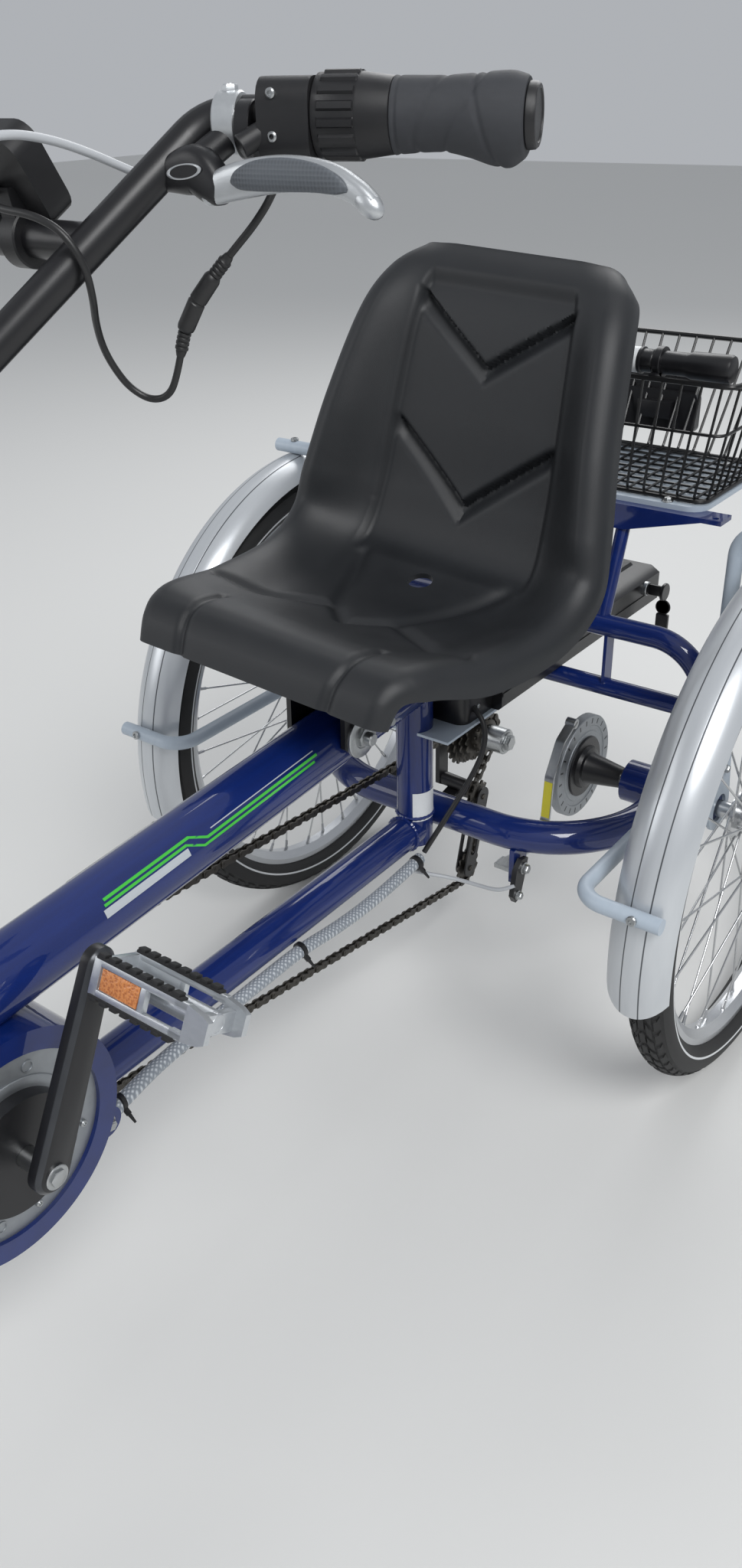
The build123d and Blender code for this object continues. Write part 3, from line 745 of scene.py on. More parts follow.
weld_shapes = [
    weld_ring(place(0, -220, 316), (0, 0, 1), 20.3, 2.2, 26),
    weld_ring(place(0, -243, 295), (0, 1, 0), 19.8, 2.2, 26),
    weld_ring(place(0, -711, 295), (0, 1, 0.0), 19.8, 2.4, 26),
    weld_ring(place(156, 0, axle_height), (1, 0, 0), 19.0, 1.8, 26),
    weld_ring(place(-156, 0, axle_height), (1, 0, 0), 19.0, 1.8, 26),
]
make_piece("weld_beads", "chassis", *gather(weld_shapes), [navy_gloss], "frame")

# Tabs welded to the frame: two on the motor shell and one for the brake, cut from plate.
shell_tab_turn = radians(-30)
tab_shapes = [slab([(-194, 246), (-166, 246), (-166, 288), (-194, 288)], 109, 115, side_spot, 1.0)]
shell_tab_foot = (crank_y + 60 * cos(shell_tab_turn), crank_z + 60 * sin(shell_tab_turn))
shell_tab_outline = arm_outline(*shell_tab_foot, 48, -30, 30, 15)
for side in (-1, 1):
    tab_shapes.append(slab(shell_tab_outline, side * 25, side * 31, side_spot))
make_piece("frame_tabs", "chassis", *gather(tab_shapes), [navy_gloss], "frame")

# Motor and cranks
# A cast alloy drive in a painted shell, held by recessed screws, under a black disc. Forged
# cranks are painted black, with the bevelled edge a lighter grey and a silver bolt at the end.
cast_alloy = moulded("sand_cast_alloy", "a9adb1", "95999d", 0.42, 1.0, 0.35, 0.9)
black_satin = moulded("black_satin_paint", "121214", "19191c", 0.34, 0.8, 0.12)
# The cranks' bevelled edges take a lighter, half-metal grey than their black faces.
crank_edge = moulded("lighter_grey_bevel", "4a4c50", "37393c", 0.3, 0.8, 0.08, 0.5)
dress("motor", cast_alloy)
dress("motor_cover chain_ring", black_satin)
crank_turn = radians(crank_degrees)
pedal_reach = (crank_length * cos(crank_turn), crank_length * sin(crank_turn))
# A crank's edge: how far out, then the radius round the spindle's eye and round the pedal's
edge_rows = [
    (72.0, 16.4, 12.9),
    (72.6, 17.0, 13.5),
    (80.6, 17.0, 13.5),
    (81.4, 16.6, 13.1),
    (84.4, 13.6, 10.1),
    (85.0, 12.8, 9.3),
]


def bevelled_arm(side):
    """A forged crank: full width inside, its outer edges taken off by 4 mm."""
    degrees = crank_degrees if side > 0 else crank_degrees + 180
    rings = [
        (x, arm_outline(crank_y, crank_z, crank_length, degrees, big, small)) for x, big, small in edge_rows
    ]
    count = len(rings[0][1])
    points = [place(side * x, y, z) for x, outline in rings for y, z in outline]
    walls = ring_walls(len(rings), count)
    faces = [(face, 1 if number // count in (2, 3) else 0) for number, face in enumerate(walls)]
    faces.append((tuple(range(count)), 0))
    faces.append((tuple(range((len(rings) - 1) * count, len(rings) * count)), 0))
    return points, faces


crank_shapes = []
for side in (-1, 1):
    arm_y, arm_z = crank_y + side * pedal_reach[0], crank_z + side * pedal_reach[1]
    plain_parts = [
        turned(place(side * 84, crank_y, crank_z), (side, 0, 0), [(0, 10.5), (2.4, 10.5), (3, 9.8)], 28),
        turned(place(side * 86.9, crank_y, crank_z), (side, 0, 0), [(0, 7.5), (1.8, 7.5), (2.4, 6.6)], 6),
        rod(place(side * 70, arm_y, arm_z), place(side * 190, arm_y, arm_z), 4.95),
        turned(place(side * 84.5, arm_y, arm_z), (side, 0, 0), [(0, 8), (3, 8), (3.4, 7.4)], 6),
    ]
    crank_shapes += [bevelled_arm(side)] + [painted(shape, 2) for shape in plain_parts]
crank_shapes.append(painted(rod(place(-74, crank_y, crank_z), place(74, crank_y, crank_z), 8.9, 24), 2))
make_piece(
    "crank_forgings",
    "crankset",
    *gather_painted(crank_shapes),
    [black_satin, crank_edge, zinc_plate],
    "black_paint",
    "cranks",
)

motor_screws = []
for number in range(6):
    screw_turn = radians(38 + 60 * number)
    screw_spot = place(36, crank_y + 70 * cos(screw_turn), crank_z + 70 * sin(screw_turn))
    motor_screws.append(socket_screw(screw_spot, (1, 0, 0), 6.5, 3.5))
tab_eye = (crank_y + 108 * cos(shell_tab_turn), crank_z + 108 * sin(shell_tab_turn))
for side in (-1, 1):
    motor_screws.append(hex_bolt(place(side * 31, *tab_eye), (side, 0, 0), 10, 5, 15))
make_piece("motor_screws", "chassis", *gather(motor_screws), [zinc_plate], "steel")
# The motor's ring of casting holes, seen as dark rounds with a raised lip
hole_shapes = []
for number in range(6):
    hole_turn = radians(8 + 60 * number)
    hole_spot = place(36, crank_y + 70 * cos(hole_turn), crank_z + 70 * sin(hole_turn))
    hole_shapes.append(
        turned(hole_spot, (1, 0, 0), [(-0.5, 5.5), (0.8, 5.5), (1.0, 5.2), (1.0, 4.2), (0.1, 4.0)], 20)
    )
hole_shapes.append(
    turned(place(36, crank_y, crank_z), (1, 0, 0), [(-0.5, 62), (0.9, 62), (1.5, 61.2), (1.5, 54)], 64)
)
make_piece("motor_face", "chassis", *gather(hole_shapes), [cast_alloy], "alloy")


# Pedals
# Cast alloy cages with an amber reflector in each rail and rubber studs along their edges,
# which turn on a steel pin.
pedal_alloy = moulded("cast_pedal_alloy", "d2d5d8", "bfc3c7", 0.30, 0.9, 0.12, 0.85)
stud_rubber = moulded("pedal_stud_rubber", "151516", "202021", 0.6, 1.2, 0.4)
# Amber acrylic reflector: clear colour over rows of small prisms about 2 mm apart. Each prism
# is darker in its middle and lighter at its edges: painted shade and painted highlight.
amber, amber_out = new_material("amber_prism_acrylic")
amber_place = add_node(amber, "ShaderNodeTexCoord")
amber_cells = add_node(
    amber,
    "ShaderNodeTexVoronoi",
    {"Scale": 480.0, "distance": "MANHATTAN"},
    {"Vector": amber_place.outputs["Object"]},
)
# Painted shade in each prism's pit and a painted highlight on its ridges, by the same cells as the bump.
amber_prism_shade_and_highlight = two_tone(amber, "96502a", "cc8650", amber_cells.outputs["Distance"])
amber_bump = bumped(amber, 0.5, 0.0005, amber_cells.outputs["Distance"])
finish_skin(
    amber,
    amber_out,
    {"Roughness": 0.18, "IOR": 1.49},
    {"Base Color": amber_prism_shade_and_highlight, "Normal": amber_bump},
)


# How far out a pedal's inner end is, in mm
pedal_inner = 95


def on_pedal(side, out, across, up):
    """A place on a pedal: out from its inner end, across its two rails, up square to both."""
    y = crank_y + side * pedal_reach[0] - across * sin(crank_turn) - up * cos(crank_turn) * side
    z = crank_z + side * pedal_reach[1] + across * cos(crank_turn) - up * sin(crank_turn) * side
    return place(side * (pedal_inner + out), y, z)


def brick(corner_of, low, high, bevel):
    """A small block with bevelled edges between two corners, through a placing function."""
    body = bmesh.new()
    bmesh.ops.create_cube(body, size=1.0)
    for vertex in body.verts:
        vertex.co = [l + (h - l) * (c + 0.5) for l, h, c in zip(low, high, vertex.co)]
    bmesh.ops.bevel(body, geom=body.edges[:], offset=bevel, segments=2, affect="EDGES", profile=0.6)
    points = [corner_of(*vertex.co) for vertex in body.verts]
    body.verts.index_update()
    faces = [tuple(vertex.index for vertex in face.verts) for face in body.faces]
    body.free()
    return points, faces


# The pedal's outer end, as out and up, the same in both rails
nose_outline = [(91, 13.6), (80, 14), (80, 8), (91, 8), (91, -8), (80, -8), (80, -14), (91, -13.6)]
nose_outline += [(106, -11), (112, -8), (112, 8), (106, 11)]
for side_name, side in (("left", 1), ("right", -1)):

    def there(out, across, up, side=side):
        return on_pedal(side, out, across, up)

    studs, plates, cage = [], [], []
    for edge in (-1, 1):
        inner, outer = sorted((edge * 17.5, edge * 23.0))
        floor_in, floor_out = sorted((edge * 17.5, edge * 21.0))
        for low, high, down, top in (
            (0, 8, -14, 14),
            (7, 92, 8.6, 14),
            (7, 92, -14, -8.6),
            (48, 53.5, -9, 9),
        ):
            cage.append(brick(there, (low, inner, down), (high, outer, top), 0.7))
        cage.append(brick(there, (7, floor_in, -9), (49, floor_out, 9), 0.3))

        def rail_spot(u, v, w, there=there):
            return there(u, w, v)

        cage.append(slab(nose_outline, inner, outer, rail_spot, 0.7))
    cage.append(brick(there, (0, -18, -13), (6, 18, 13), 1.2))
    cage.append(brick(there, (96, -18, -8), (103, 18, 8), 1.2))
    cage.append(rod(there(1, 0, 0), there(99, 0, 0), 9.0, 24))
    cage.append(
        turned(there(99, 0, 0), (side, 0, 0), [(0, 8.6), (3, 8.6), (4.2, 7.4), (4.2, 6.0), (3.4, 5.6)], 24)
    )
    for edge in (-1, 1):
        for up in (-1, 1):
            studs.append(
                brick(
                    there,
                    (2, edge * 20.2 - 3.4, up * 14.6 - 1.2),
                    (86, edge * 20.2 + 3.4, up * 14.6 + 1.2),
                    0.6,
                )
            )
            for number in range(8):
                out = 3 + number * 10.4
                studs.append(
                    brick(
                        there,
                        (out, edge * 20.2 - 3.6, up * 16.6 - 1.6),
                        (out + 7.2, edge * 20.2 + 3.6, up * 16.6 + 1.6),
                        0.9,
                    )
                )
        plates.append(brick(there, (9.2, edge * 21.6 - 0.7, -8.2), (46.8, edge * 21.6 + 0.7, 8.2), 0.4))
    body = "pedal_" + side_name
    make_piece("pedal_cage_" + side_name, body, *gather(cage), [pedal_alloy], "alloy", body)
    make_piece("pedal_studs_" + side_name, body, *gather(studs), [stud_rubber], "rubber")
    make_piece("pedal_reflectors_" + side_name, body, *gather(plates), [amber], "alloy")

# Chain and gears
# A bushed steel chain, oiled and dark, over plated sprockets and a black-painted derailleur.
oiled_steel = moulded("oiled_chain_steel", "5a5752", "3d3a36", 0.34, 0.7, 0.2, 0.85)
# Wheels that the chain runs over, in order: y, z, radius, turn (1 clockwise seen from the left)
chain_wheels = [
    (crank_y, crank_z, 81.0, 1),
    (0.0, axle_height, 28.0, 1),
    (-12.0, 218.0, 21.0, -1),
    (-40.0, 122.0, 21.0, 1),
]
chain_x = -45.0
chain_pitch = 12.7
chain_leave, chain_arrive = [], [None] * 4
for index in range(4):
    y0, z0, r0, s0 = chain_wheels[index]
    y1, z1, r1, s1 = chain_wheels[(index + 1) % 4]
    heading = atan2(z1 - z0, y1 - y0) + asin((s1 * r1 - s0 * r0) / hypot(y1 - y0, z1 - z0))
    chain_leave.append((y0 - s0 * r0 * sin(heading), z0 + s0 * r0 * cos(heading)))
    chain_arrive[(index + 1) % 4] = (y1 - s1 * r1 * sin(heading), z1 + s1 * r1 * cos(heading))
chain_path = []
for index in range(4):
    y, z, r, turn = chain_wheels[index]
    begin = atan2(chain_arrive[index][1] - z, chain_arrive[index][0] - y)
    swing = atan2(chain_leave[index][1] - z, chain_leave[index][0] - y) - begin
    if turn * swing > 0:
        swing -= turn * 2 * pi
    for step in range(61):
        angle = begin + swing * step / 60
        chain_path.append((y + r * cos(angle), z + r * sin(angle)))
chain_path.append(chain_path[0])
chain_marks = [0.0]
for near, far in zip(chain_path, chain_path[1:]):
    chain_marks.append(chain_marks[-1] + hypot(far[0] - near[0], far[1] - near[1]))
link_count = 2 * round(chain_marks[-1] / chain_pitch / 2)
chain_pins = []
mark = 0
for number in range(link_count):
    along = chain_marks[-1] * number / link_count
    while chain_marks[mark + 1] < along:
        mark += 1
    share = (along - chain_marks[mark]) / (chain_marks[mark + 1] - chain_marks[mark])
    near, far = chain_path[mark], chain_path[mark + 1]
    chain_pins.append((near[0] + (far[0] - near[0]) * share, near[1] + (far[1] - near[1]) * share))
# A link's outline: share of the pitch along it, share of its half height
link_outline = [
    (-0.3, 0.5),
    (-0.2, 0.9),
    (0.0, 1.0),
    (0.22, 0.9),
    (0.5, 0.66),
    (0.78, 0.9),
    (1.0, 1.0),
    (1.2, 0.9),
    (1.3, 0.5),
]
link_shapes = []
for number, near in enumerate(chain_pins):
    far = chain_pins[(number + 1) % link_count]
    run_y, run_z = far[0] - near[0], far[1] - near[1]
    run = hypot(run_y, run_z)
    rise_y, rise_z = -run_z / run * 3.9, run_y / run * 3.9
    corners = [
        (near[0] + run_y * a + rise_y * b, near[1] + run_z * a + rise_z * b) for a, b in link_outline
    ]
    corners += [
        (near[0] + run_y * a - rise_y * b, near[1] + run_z * a - rise_z * b)
        for a, b in reversed(link_outline)
    ]
    low, high = (2.7, 3.9) if number % 2 else (1.5, 2.6)
    for edge in (-1, 1):
        link_shapes.append(slab(corners, chain_x + edge * low, chain_x + edge * high, side_spot, 0))
    link_shapes.append(turned(place(chain_x - 2, *near), (1, 0, 0), [(0, 3.0), (4, 3.0)], 8))
    link_shapes.append(turned(place(chain_x - 4.2, *near), (1, 0, 0), [(0, 1.7), (8.4, 1.7)], 8))
make_piece("chain_links", "chassis", *gather(link_shapes), [oiled_steel], "steel", "chain")

# A sprocket's tooth: share of the pitch round it, reach from the tip's radius in mm
tooth_rows = [(-0.36, -4.2), (-0.14, -0.6), (0.0, 0.0), (0.14, -0.6), (0.36, -4.2), (0.5, -5.0)]


def sprocket(middle_x, y, z, radius, teeth, thick, bore):
    """A thin toothed wheel with a round middle cut out, as points and faces."""
    outer, inner = [], []
    for number in range(teeth):
        for share, reach in tooth_rows:
            turn = 2 * pi * (number + share) / teeth
            outer.append((y + (radius + reach) * cos(turn), z + (radius + reach) * sin(turn)))
            inner.append((y + bore * cos(turn), z + bore * sin(turn)))
    return pierced(outer, inner, middle_x - thick / 2, middle_x + thick / 2, side_spot)


def pierced(outer, inner, near, far, spot):
    """A flat plate between two outlines of as many corners."""
    count = len(outer)
    points = [spot(u, v, w) for w in (near, far) for outline in (outer, inner) for u, v in outline]
    faces = []
    for index in range(count):
        after = (index + 1) % count
        for a, b, c, d in (
            (index, after, count + after, count + index),
            (2 * count + index, 3 * count + index, 3 * count + after, 2 * count + after),
            (index, 2 * count + index, 2 * count + after, after),
            (count + index, count + after, 3 * count + after, 3 * count + index),
        ):
            faces.append((a, b, c, d))
    return points, faces


# Sprockets on the right half axle: middle x, radius, teeth
cog_shapes = [
    sprocket(x, 0, axle_height, r, teeth, 2.2, 20.0)
    for x, r, teeth in ((-52, 34, 16), (-59, 38, 18), (-66, 42, 20), (-73, 46, 22))
]
# The cog in the chain has its teeth cut short of the rollers, since the chain is held still
cog_shapes.append(sprocket(-45, 0, axle_height, 24.6, 13, 2.0, 14.0))
cog_tube_rows = [(0, 20), (1, 22), (39, 22), (40, 20.5)]
cog_shapes.append(turned(place(-80, 0, axle_height), (1, 0, 0), cog_tube_rows, 40))
make_piece("cassette_cogs", "rear_wheel_right", *gather(cog_shapes), [oiled_steel], "steel", "cassette")
sleeve_shapes = [
    turned(place(-40.5, 0, axle_height), (1, 0, 0), [(0, 16.5), (27, 16.5), (28.5, 15)], 32),
    turned(place(-13, 0, axle_height), (1, 0, 0), [(0, 13), (2, 13), (2.5, 12.2)], 28),
    turned(place(-11, 0, axle_height), (1, 0, 0), [(0, 10.4), (5, 10.4), (6, 9)], 6),
]
make_piece("axle_end_sleeve", "rear_wheel_right", *gather(sleeve_shapes), [zinc_plate], "steel")

# Derailleur: a hanger from the housing, a painted knuckle and a caged pair of small wheels
cage_turn = atan2(122 - 218, -40 + 12) * 180 / pi
cage_shapes = []
for x in (-7.5, 5.5):
    cage_shapes.append(
        pierced(
            arm_outline(-12, 218, 100, cage_turn, 13, 12),
            arm_outline(-18.5, 195, 52, cage_turn, 6, 6),
            chain_x + x,
            chain_x + x + 2,
            side_spot,
        )
    )
cage_shapes += [
    slab([(-36, 330), (-16, 330), (-16, 232), (-24, 224), (-36, 232)], -96, -90, side_spot, 1.5),
    slab([(-36, 316), (-36, 330), (-12, 330), (-12, 316)], -158, -90, side_spot, 1.0),
    rod(place(-94, -25, 236), place(-56, -14, 226), 9.0, 24),
    turned(place(-66, -12, 222), (1, 0, 0), [(0, 11), (1, 12), (12.5, 12), (13.5, 11)], 28),
    slab(arm_outline(-34, 214, 20, 15, 6, 5), -86, -68, side_spot, 1.5),
]
make_piece("derailleur_cage", "chassis", *gather(cage_shapes), [black_satin], "black_paint")
wheel_shapes = []
for y, z in ((-12, 218), (-40, 122)):
    wheel_shapes.append(sprocket(chain_x, y, z, 20.5, 11, 2.4, 5.0))
    wheel_shapes.append(turned(place(chain_x - 5.4, y, z), (1, 0, 0), [(0, 5.2), (10.8, 5.2)], 16))
    wheel_shapes.append(hex_bolt(place(chain_x + 7.5, y, z), (1, 0, 0), 7, 2))
    wheel_shapes.append(hex_bolt(place(chain_x - 7.5, y, z), (-1, 0, 0), 7, 2))
wheel_shapes.append(hex_bolt(place(-88, -34, 214), (-1, 0, 0), 5, 2))
wheel_shapes.append(turned(place(-100, -26, 322), (1, 0, 0), [(0, 9), (3, 9)], 6))
make_piece("derailleur_wheels", "chassis", *gather(wheel_shapes), [oiled_steel], "steel")

# Hubs, rims and spokes
# Bright stainless spokes laced three-cross in silver anodised rims; turned alloy hubs. The left
# half axle carries a slotted brake drum on a black cone.
rim_alloy = moulded("anodised_rim_alloy", "cfd1d4", "bec1c5", 0.30, 0.8, 0.08, 1.0)
stainless = moulded("bright_stainless", "cfd0d1", "b5b7b9", 0.22, 0.8, 0.05, 1.0)
dress("rim_rear_left rim_rear_right rim_front", rim_alloy)
dress("spokes_rear_left spokes_rear_right spokes_front front_axle", stainless)
# Brake drum: a turned alloy face with a ring of short slots, carried by a black cone. The slots
# are thin black bricks just proud of the face: painted shade for their dark insides.
drum_rows = [(0, 37), (0, 63), (1, 64), (11, 64), (12, 63), (12, 51.5), (11.2, 50.8), (11.2, 45)]
drum_rows += [(12, 44.2), (12, 37)]
drum_shape = turned(place(84, 0, axle_height), (1, 0, 0), drum_rows, 96)
make_piece("brake_drum_face", "rear_wheel_left", *drum_shape, [cast_alloy], "steel", "brake_disc")
cone_rows = [
    (0, 36), (0.8, 38), (11.4, 38), (12.4, 37), (12.6, 27), (17, 25), (18, 20), (20, 19), (62, 12.5)
]
cone_shapes = [turned(place(86, 0, axle_height), (1, 0, 0), cone_rows, 48)]
# Painted shade: each slot is a thin black brick on the drum's face, not a cut.
for number in range(24):
    slot_turn = 2 * pi * number / 24

    def slot_spot(out, across_it, deep, slot_turn=slot_turn):
        y = out * cos(slot_turn) - across_it * sin(slot_turn)
        z = out * sin(slot_turn) + across_it * cos(slot_turn)
        return place(96.0 + deep, y, axle_height + z)

    cone_shapes.append(brick(slot_spot, (54, -1.1, -1.0), (60.5, 1.1, 0.12), 0.08))
make_piece("brake_drum_cone", "rear_wheel_left", *gather(cone_shapes), [black_satin], "black_paint")
for side, body in ((1, "rear_wheel_left"), (-1, "rear_wheel_right")):
    nut_shapes = [
        turned(place(side * 352, 0, axle_height), (side, 0, 0), [(0, 13), (1.6, 13), (2.0, 12.4)], 28),
        turned(place(side * 353.6, 0, axle_height), (side, 0, 0), [(0, 12), (5, 12), (6.2, 10.6)], 6),
    ]
    make_piece("axle_nut_" + body, body, *gather(nut_shapes), [zinc_plate], "steel")

# Spoke nipples: brass, nickel plated, one at the rim for each spoke.
wheel_rows = [
    ("rear_wheel_left", rear_track, 0.0, axle_height, 262.0),
    ("rear_wheel_right", -rear_track, 0.0, axle_height, 262.0),
    ("front_wheel", 0.0, front_y, front_z, 211.5),
]
for body, wheel_x, wheel_y, wheel_z, rim_radius in wheel_rows:
    nipples = []
    reach = rim_radius - 17.4
    for number in range(36):
        side = 1 if number % 2 == 0 else -1
        lean = 1 if (number // 2) % 2 == 0 else -1
        rim_turn = radians(number * 10)
        hub_turn = rim_turn - lean * radians(60)
        foot = Vector(
            (wheel_x + side * (26 + lean * 1.9), wheel_y + 26 * cos(hub_turn), wheel_z + 26 * sin(hub_turn))
        )
        end = Vector(
            (wheel_x + side * 2.5, wheel_y + reach * cos(rim_turn), wheel_z + reach * sin(rim_turn))
        )
        inward = (foot - end).normalized()
        nipples.append(
            turned(place(*end), inward, [(0, 2.5), (3, 2.4), (3.6, 2.0), (12, 1.9), (12.6, 1.5)], 8)
        )
    make_piece("nipples_" + body, body, *gather(nipples), [stainless], "spoke")

# Tyres
# Vulcanised rubber with a block tread, moulded sidewalls and one reflective white line a side.
tyre_rubber = moulded("vulcanised_tyre_rubber", "1c1c1d", "272727", 0.66, 1.2, 0.45)
reflex_line = moulded("white_reflex_line", "dcdedf", "cfd2d4", 0.45, 0.8, 0.05)
tread_depth = 1.9
crown_curve = 22.95
# Half of the section, from the crown out and down: half width, drop from the tread's top
side_rows = [
    (0.0, 0.0),
    (5.5, 0.67),
    (11.0, 2.81),
    (16.5, 7.0),
    (18.4, 9.2),
    (19.9, 11.6),
    (22.3, 17.0),
    (23.4, 22.0),
    (23.5, 25.0),
    (23.3, 27.2),
    (22.9, 29.6),
    (21.6, 32.6),
    (19.4, 35.4),
    (14.5, 38.0),
    (10.8, 38.4),
    (10.8, 44.5),
]
shoulder_half = 18.4
# The reflective line runs between these two drops
line_drops = {27.2, 29.6}
# Tread blocks: from and to across the crown in degrees, half length of the pitch, slant, shift
block_rows = [(-9.0, 9.0, 0.36, 0.0, 0.0), (12.0, 28.0, 0.35, 0.22, 0.5), (31.0, 51.0, 0.33, -0.16, 0.0)]


def tyre(body, node, wheel_x, wheel_y, wheel_z, radius, pitches):
    """A tyre as a turned section with raised tread blocks on its crown."""
    steps = pitches * 2
    section = []
    for half, drop in side_rows:
        section.append((half, drop + (tread_depth if half <= shoulder_half else 0.0)))
    ring = [(-half, drop) for half, drop in reversed(section[1:])] + section
    count = len(ring)
    points, faces = [], []
    for step in range(steps):
        turn = 2 * pi * step / steps
        for half, drop in ring:
            points.append(
                place(
                    wheel_x + half,
                    wheel_y + (radius - drop) * cos(turn),
                    wheel_z + (radius - drop) * sin(turn),
                )
            )
    for step in range(steps):
        near, far = step * count, (step + 1) % steps * count
        for index in range(count):
            beside = (index + 1) % count
            white = 1 if {ring[index][1], ring[beside][1]} == line_drops else 0
            faces.append(((near + index, near + beside, far + beside, far + index), white))
    for number in range(pitches):
        for low, high, reach, slant, shift in block_rows:
            for mirror_side in (1, -1):
                if low < 0 and mirror_side < 0:
                    continue
                first = len(points)
                grid = 3
                for sink, share_in in ((0.0, 0.86), (tread_depth + 0.4, 1.0)):
                    for row in range(grid):
                        for column in range(grid):
                            s = row / (grid - 1) * 2 - 1
                            t = column / (grid - 1) * 2 - 1
                            angle = (low + high) / 2 + s * (high - low) / 2 * share_in
                            along = shift + slant * s + t * reach * share_in + (
                                0.12 * (1 - s * s) if low > 0 else 0.1 * s * s
                            )
                            turn = 2 * pi * (number + 0.5 + along) / pitches
                            tilt = radians(angle) * mirror_side
                            reach_r = radius - crown_curve + (crown_curve - sink) * cos(tilt)
                            points.append(
                                place(
                                    wheel_x + (crown_curve - sink) * sin(tilt),
                                    wheel_y + reach_r * cos(turn),
                                    wheel_z + reach_r * sin(turn),
                                )
                            )
                for row in range(grid - 1):
                    for column in range(grid - 1):
                        a = first + row * grid + column
                        faces.append(((a, a + 1, a + grid + 1, a + grid), 0))
                # The grid's outer points in order, each joined to the one sunk below it
                rim = [0, 1, 2, 5, 8, 7, 6, 3]
                for here, after in zip(rim, rim[1:] + rim[:1]):
                    under = first + grid * grid
                    faces.append(((first + here, under + here, under + after, first + after), 0))
    make_piece("tyre_tread_" + body, body, points, faces, [tyre_rubber, reflex_line], "tyre", node)


tyre("rear_wheel_left", "tyre_rear_left", rear_track, 0.0, axle_height, axle_height, 72)
tyre("rear_wheel_right", "tyre_rear_right", -rear_track, 0.0, axle_height, axle_height, 72)
tyre("front_wheel", "tyre_front", 0.0, front_y, front_z, front_z, 60)


# Fenders and stays
# Silver-faced plastic bands with two fine grooves along them, each darkened by painted shade,
# held by pale painted tubes that are bolted to the bearing housings and through the bands.
def silver_with_groove_shade(name, middles_mm):
    """Silver foil over plastic with painted shade in two grooves 8 mm either side of the wheel's middle."""
    material, out = new_material(name)
    where = add_node(material, "ShaderNodeTexCoord")
    parts = add_node(material, "ShaderNodeSeparateXYZ", None, {0: where.outputs["Object"]})
    off = add_node(material, "ShaderNodeMath", {"operation": "ABSOLUTE"}, {0: parts.outputs[0]})
    middle = add_node(
        material, "ShaderNodeMath", {"operation": "SUBTRACT", 1: middles_mm / 1000}, {0: off.outputs[0]}
    )
    away = add_node(material, "ShaderNodeMath", {"operation": "ABSOLUTE"}, {0: middle.outputs[0]})
    past = add_node(material, "ShaderNodeMath", {"operation": "SUBTRACT", 1: 0.0095}, {0: away.outputs[0]})
    near = add_node(material, "ShaderNodeMath", {"operation": "ABSOLUTE"}, {0: past.outputs[0]})
    line = add_node(
        material,
        "ShaderNodeMapRange",
        {"From Min": 0.0004, "From Max": 0.0009, "To Min": 1.0, "To Max": 0.0},
        {"Value": near.outputs[0]},
    )
    brushed = add_node(material, "ShaderNodeTexNoise", {"Scale": 260.0, "Detail": 3.0})
    drift = add_node(material, "ShaderNodeTexNoise", {"Scale": 7.0, "Detail": 4.0})
    base = two_tone(material, "d3d6d9", "c4c8cc", drift.outputs[0])
    # The dark grey lines are painted shade in the two grooves that the inverted bump presses in.
    tone = add_node(
        material,
        "ShaderNodeMix",
        {"data_type": "RGBA", 7: linear("55585c")},
        {0: line.outputs[0], 6: base},
    )
    gloss = add_node(
        material, "ShaderNodeMapRange", {"To Min": 0.26, "To Max": 0.38}, {"Value": brushed.outputs[0]}
    )
    bump = add_node(
        material,
        "ShaderNodeBump",
        {"Strength": 0.5, "Distance": 0.0005, "invert": True},
        {"Height": line.outputs[0]},
    )
    links = {"Base Color": tone.outputs[2], "Roughness": gloss.outputs[0], "Normal": bump.outputs[0]}
    finish_skin(material, out, {"Metallic": 0.55}, links)
    return material


def fender(name, body, node, x, y, z, edge, crown, half, first_deg, last_deg, corner, finish):
    """A rolled band over a wheel: a shallow arch across, its ends rounded, 2 mm thick."""
    rise = crown - edge
    bow = (half * half + rise * rise) / (2 * rise)
    around, across_steps = 120, 16
    points, faces = [], []
    for row in range(around + 1):
        for column in range(across_steps + 1):
            u = half * (2 * column / across_steps - 1)
            back_off = (corner - sqrt(corner * corner - u * u)) / crown
            first = radians(first_deg) + back_off
            last = radians(last_deg) - back_off
            share = row / around
            turn = first + (last - first) * share
            r = crown - (bow - sqrt(bow * bow - u * u))
            points.append(place(x + u, y + r * cos(turn), z + r * sin(turn)))
    width = across_steps + 1
    for row in range(around):
        for column in range(across_steps):
            a = row * width + column
            faces.append((a, a + 1, a + width + 1, a + width))
    mesh = thickened(name, points, faces, 0.002, None)
    shell_piece(name, body, node, mesh, finish, 50)
    fix_normals(mesh)


def plain_object(name, points, faces):
    """An object from points and faces, turned outward all round."""
    mesh = bpy.data.meshes.new(name)
    mesh.from_pydata([tuple(p) for p in points], [], faces)
    fix_normals(mesh)
    item = bpy.data.objects.new(name, mesh)
    bpy.context.scene.collection.objects.link(item)
    return item


def thickened(name, points, faces, thickness, cutter):
    """A skin given its thickness on the inside, and a hole cut through by a cutter."""
    raw = plain_object(name, points, faces)
    if thickness:
        solid = raw.modifiers.new("wall", "SOLIDIFY")
        solid.thickness = thickness
        solid.offset = -1.0
    tool = None
    if cutter:
        tool = plain_object("cutter", *cutter)
        hole = raw.modifiers.new("hole", "BOOLEAN")
        hole.operation = "DIFFERENCE"
        hole.object = tool
    mesh = bpy.data.meshes.new_from_object(raw.evaluated_get(bpy.context.evaluated_depsgraph_get()))
    bpy.data.objects.remove(raw)
    if tool:
        bpy.data.objects.remove(tool)
    return mesh


def shell_piece(name, body, node, mesh, finish, sharp_degrees):
    """A thickened skin as a piece that stands for a CAD node."""
    mesh.materials.clear()
    mesh.materials.append(finish)
    for polygon in mesh.polygons:
        polygon.use_smooth = True
        polygon.material_index = 0
    mesh.set_sharp_from_angle(angle=radians(sharp_degrees))
    piece = bpy.data.objects.new(name, mesh)
    bpy.context.scene.collection.objects.link(piece)
    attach(piece, body)
    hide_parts(node)


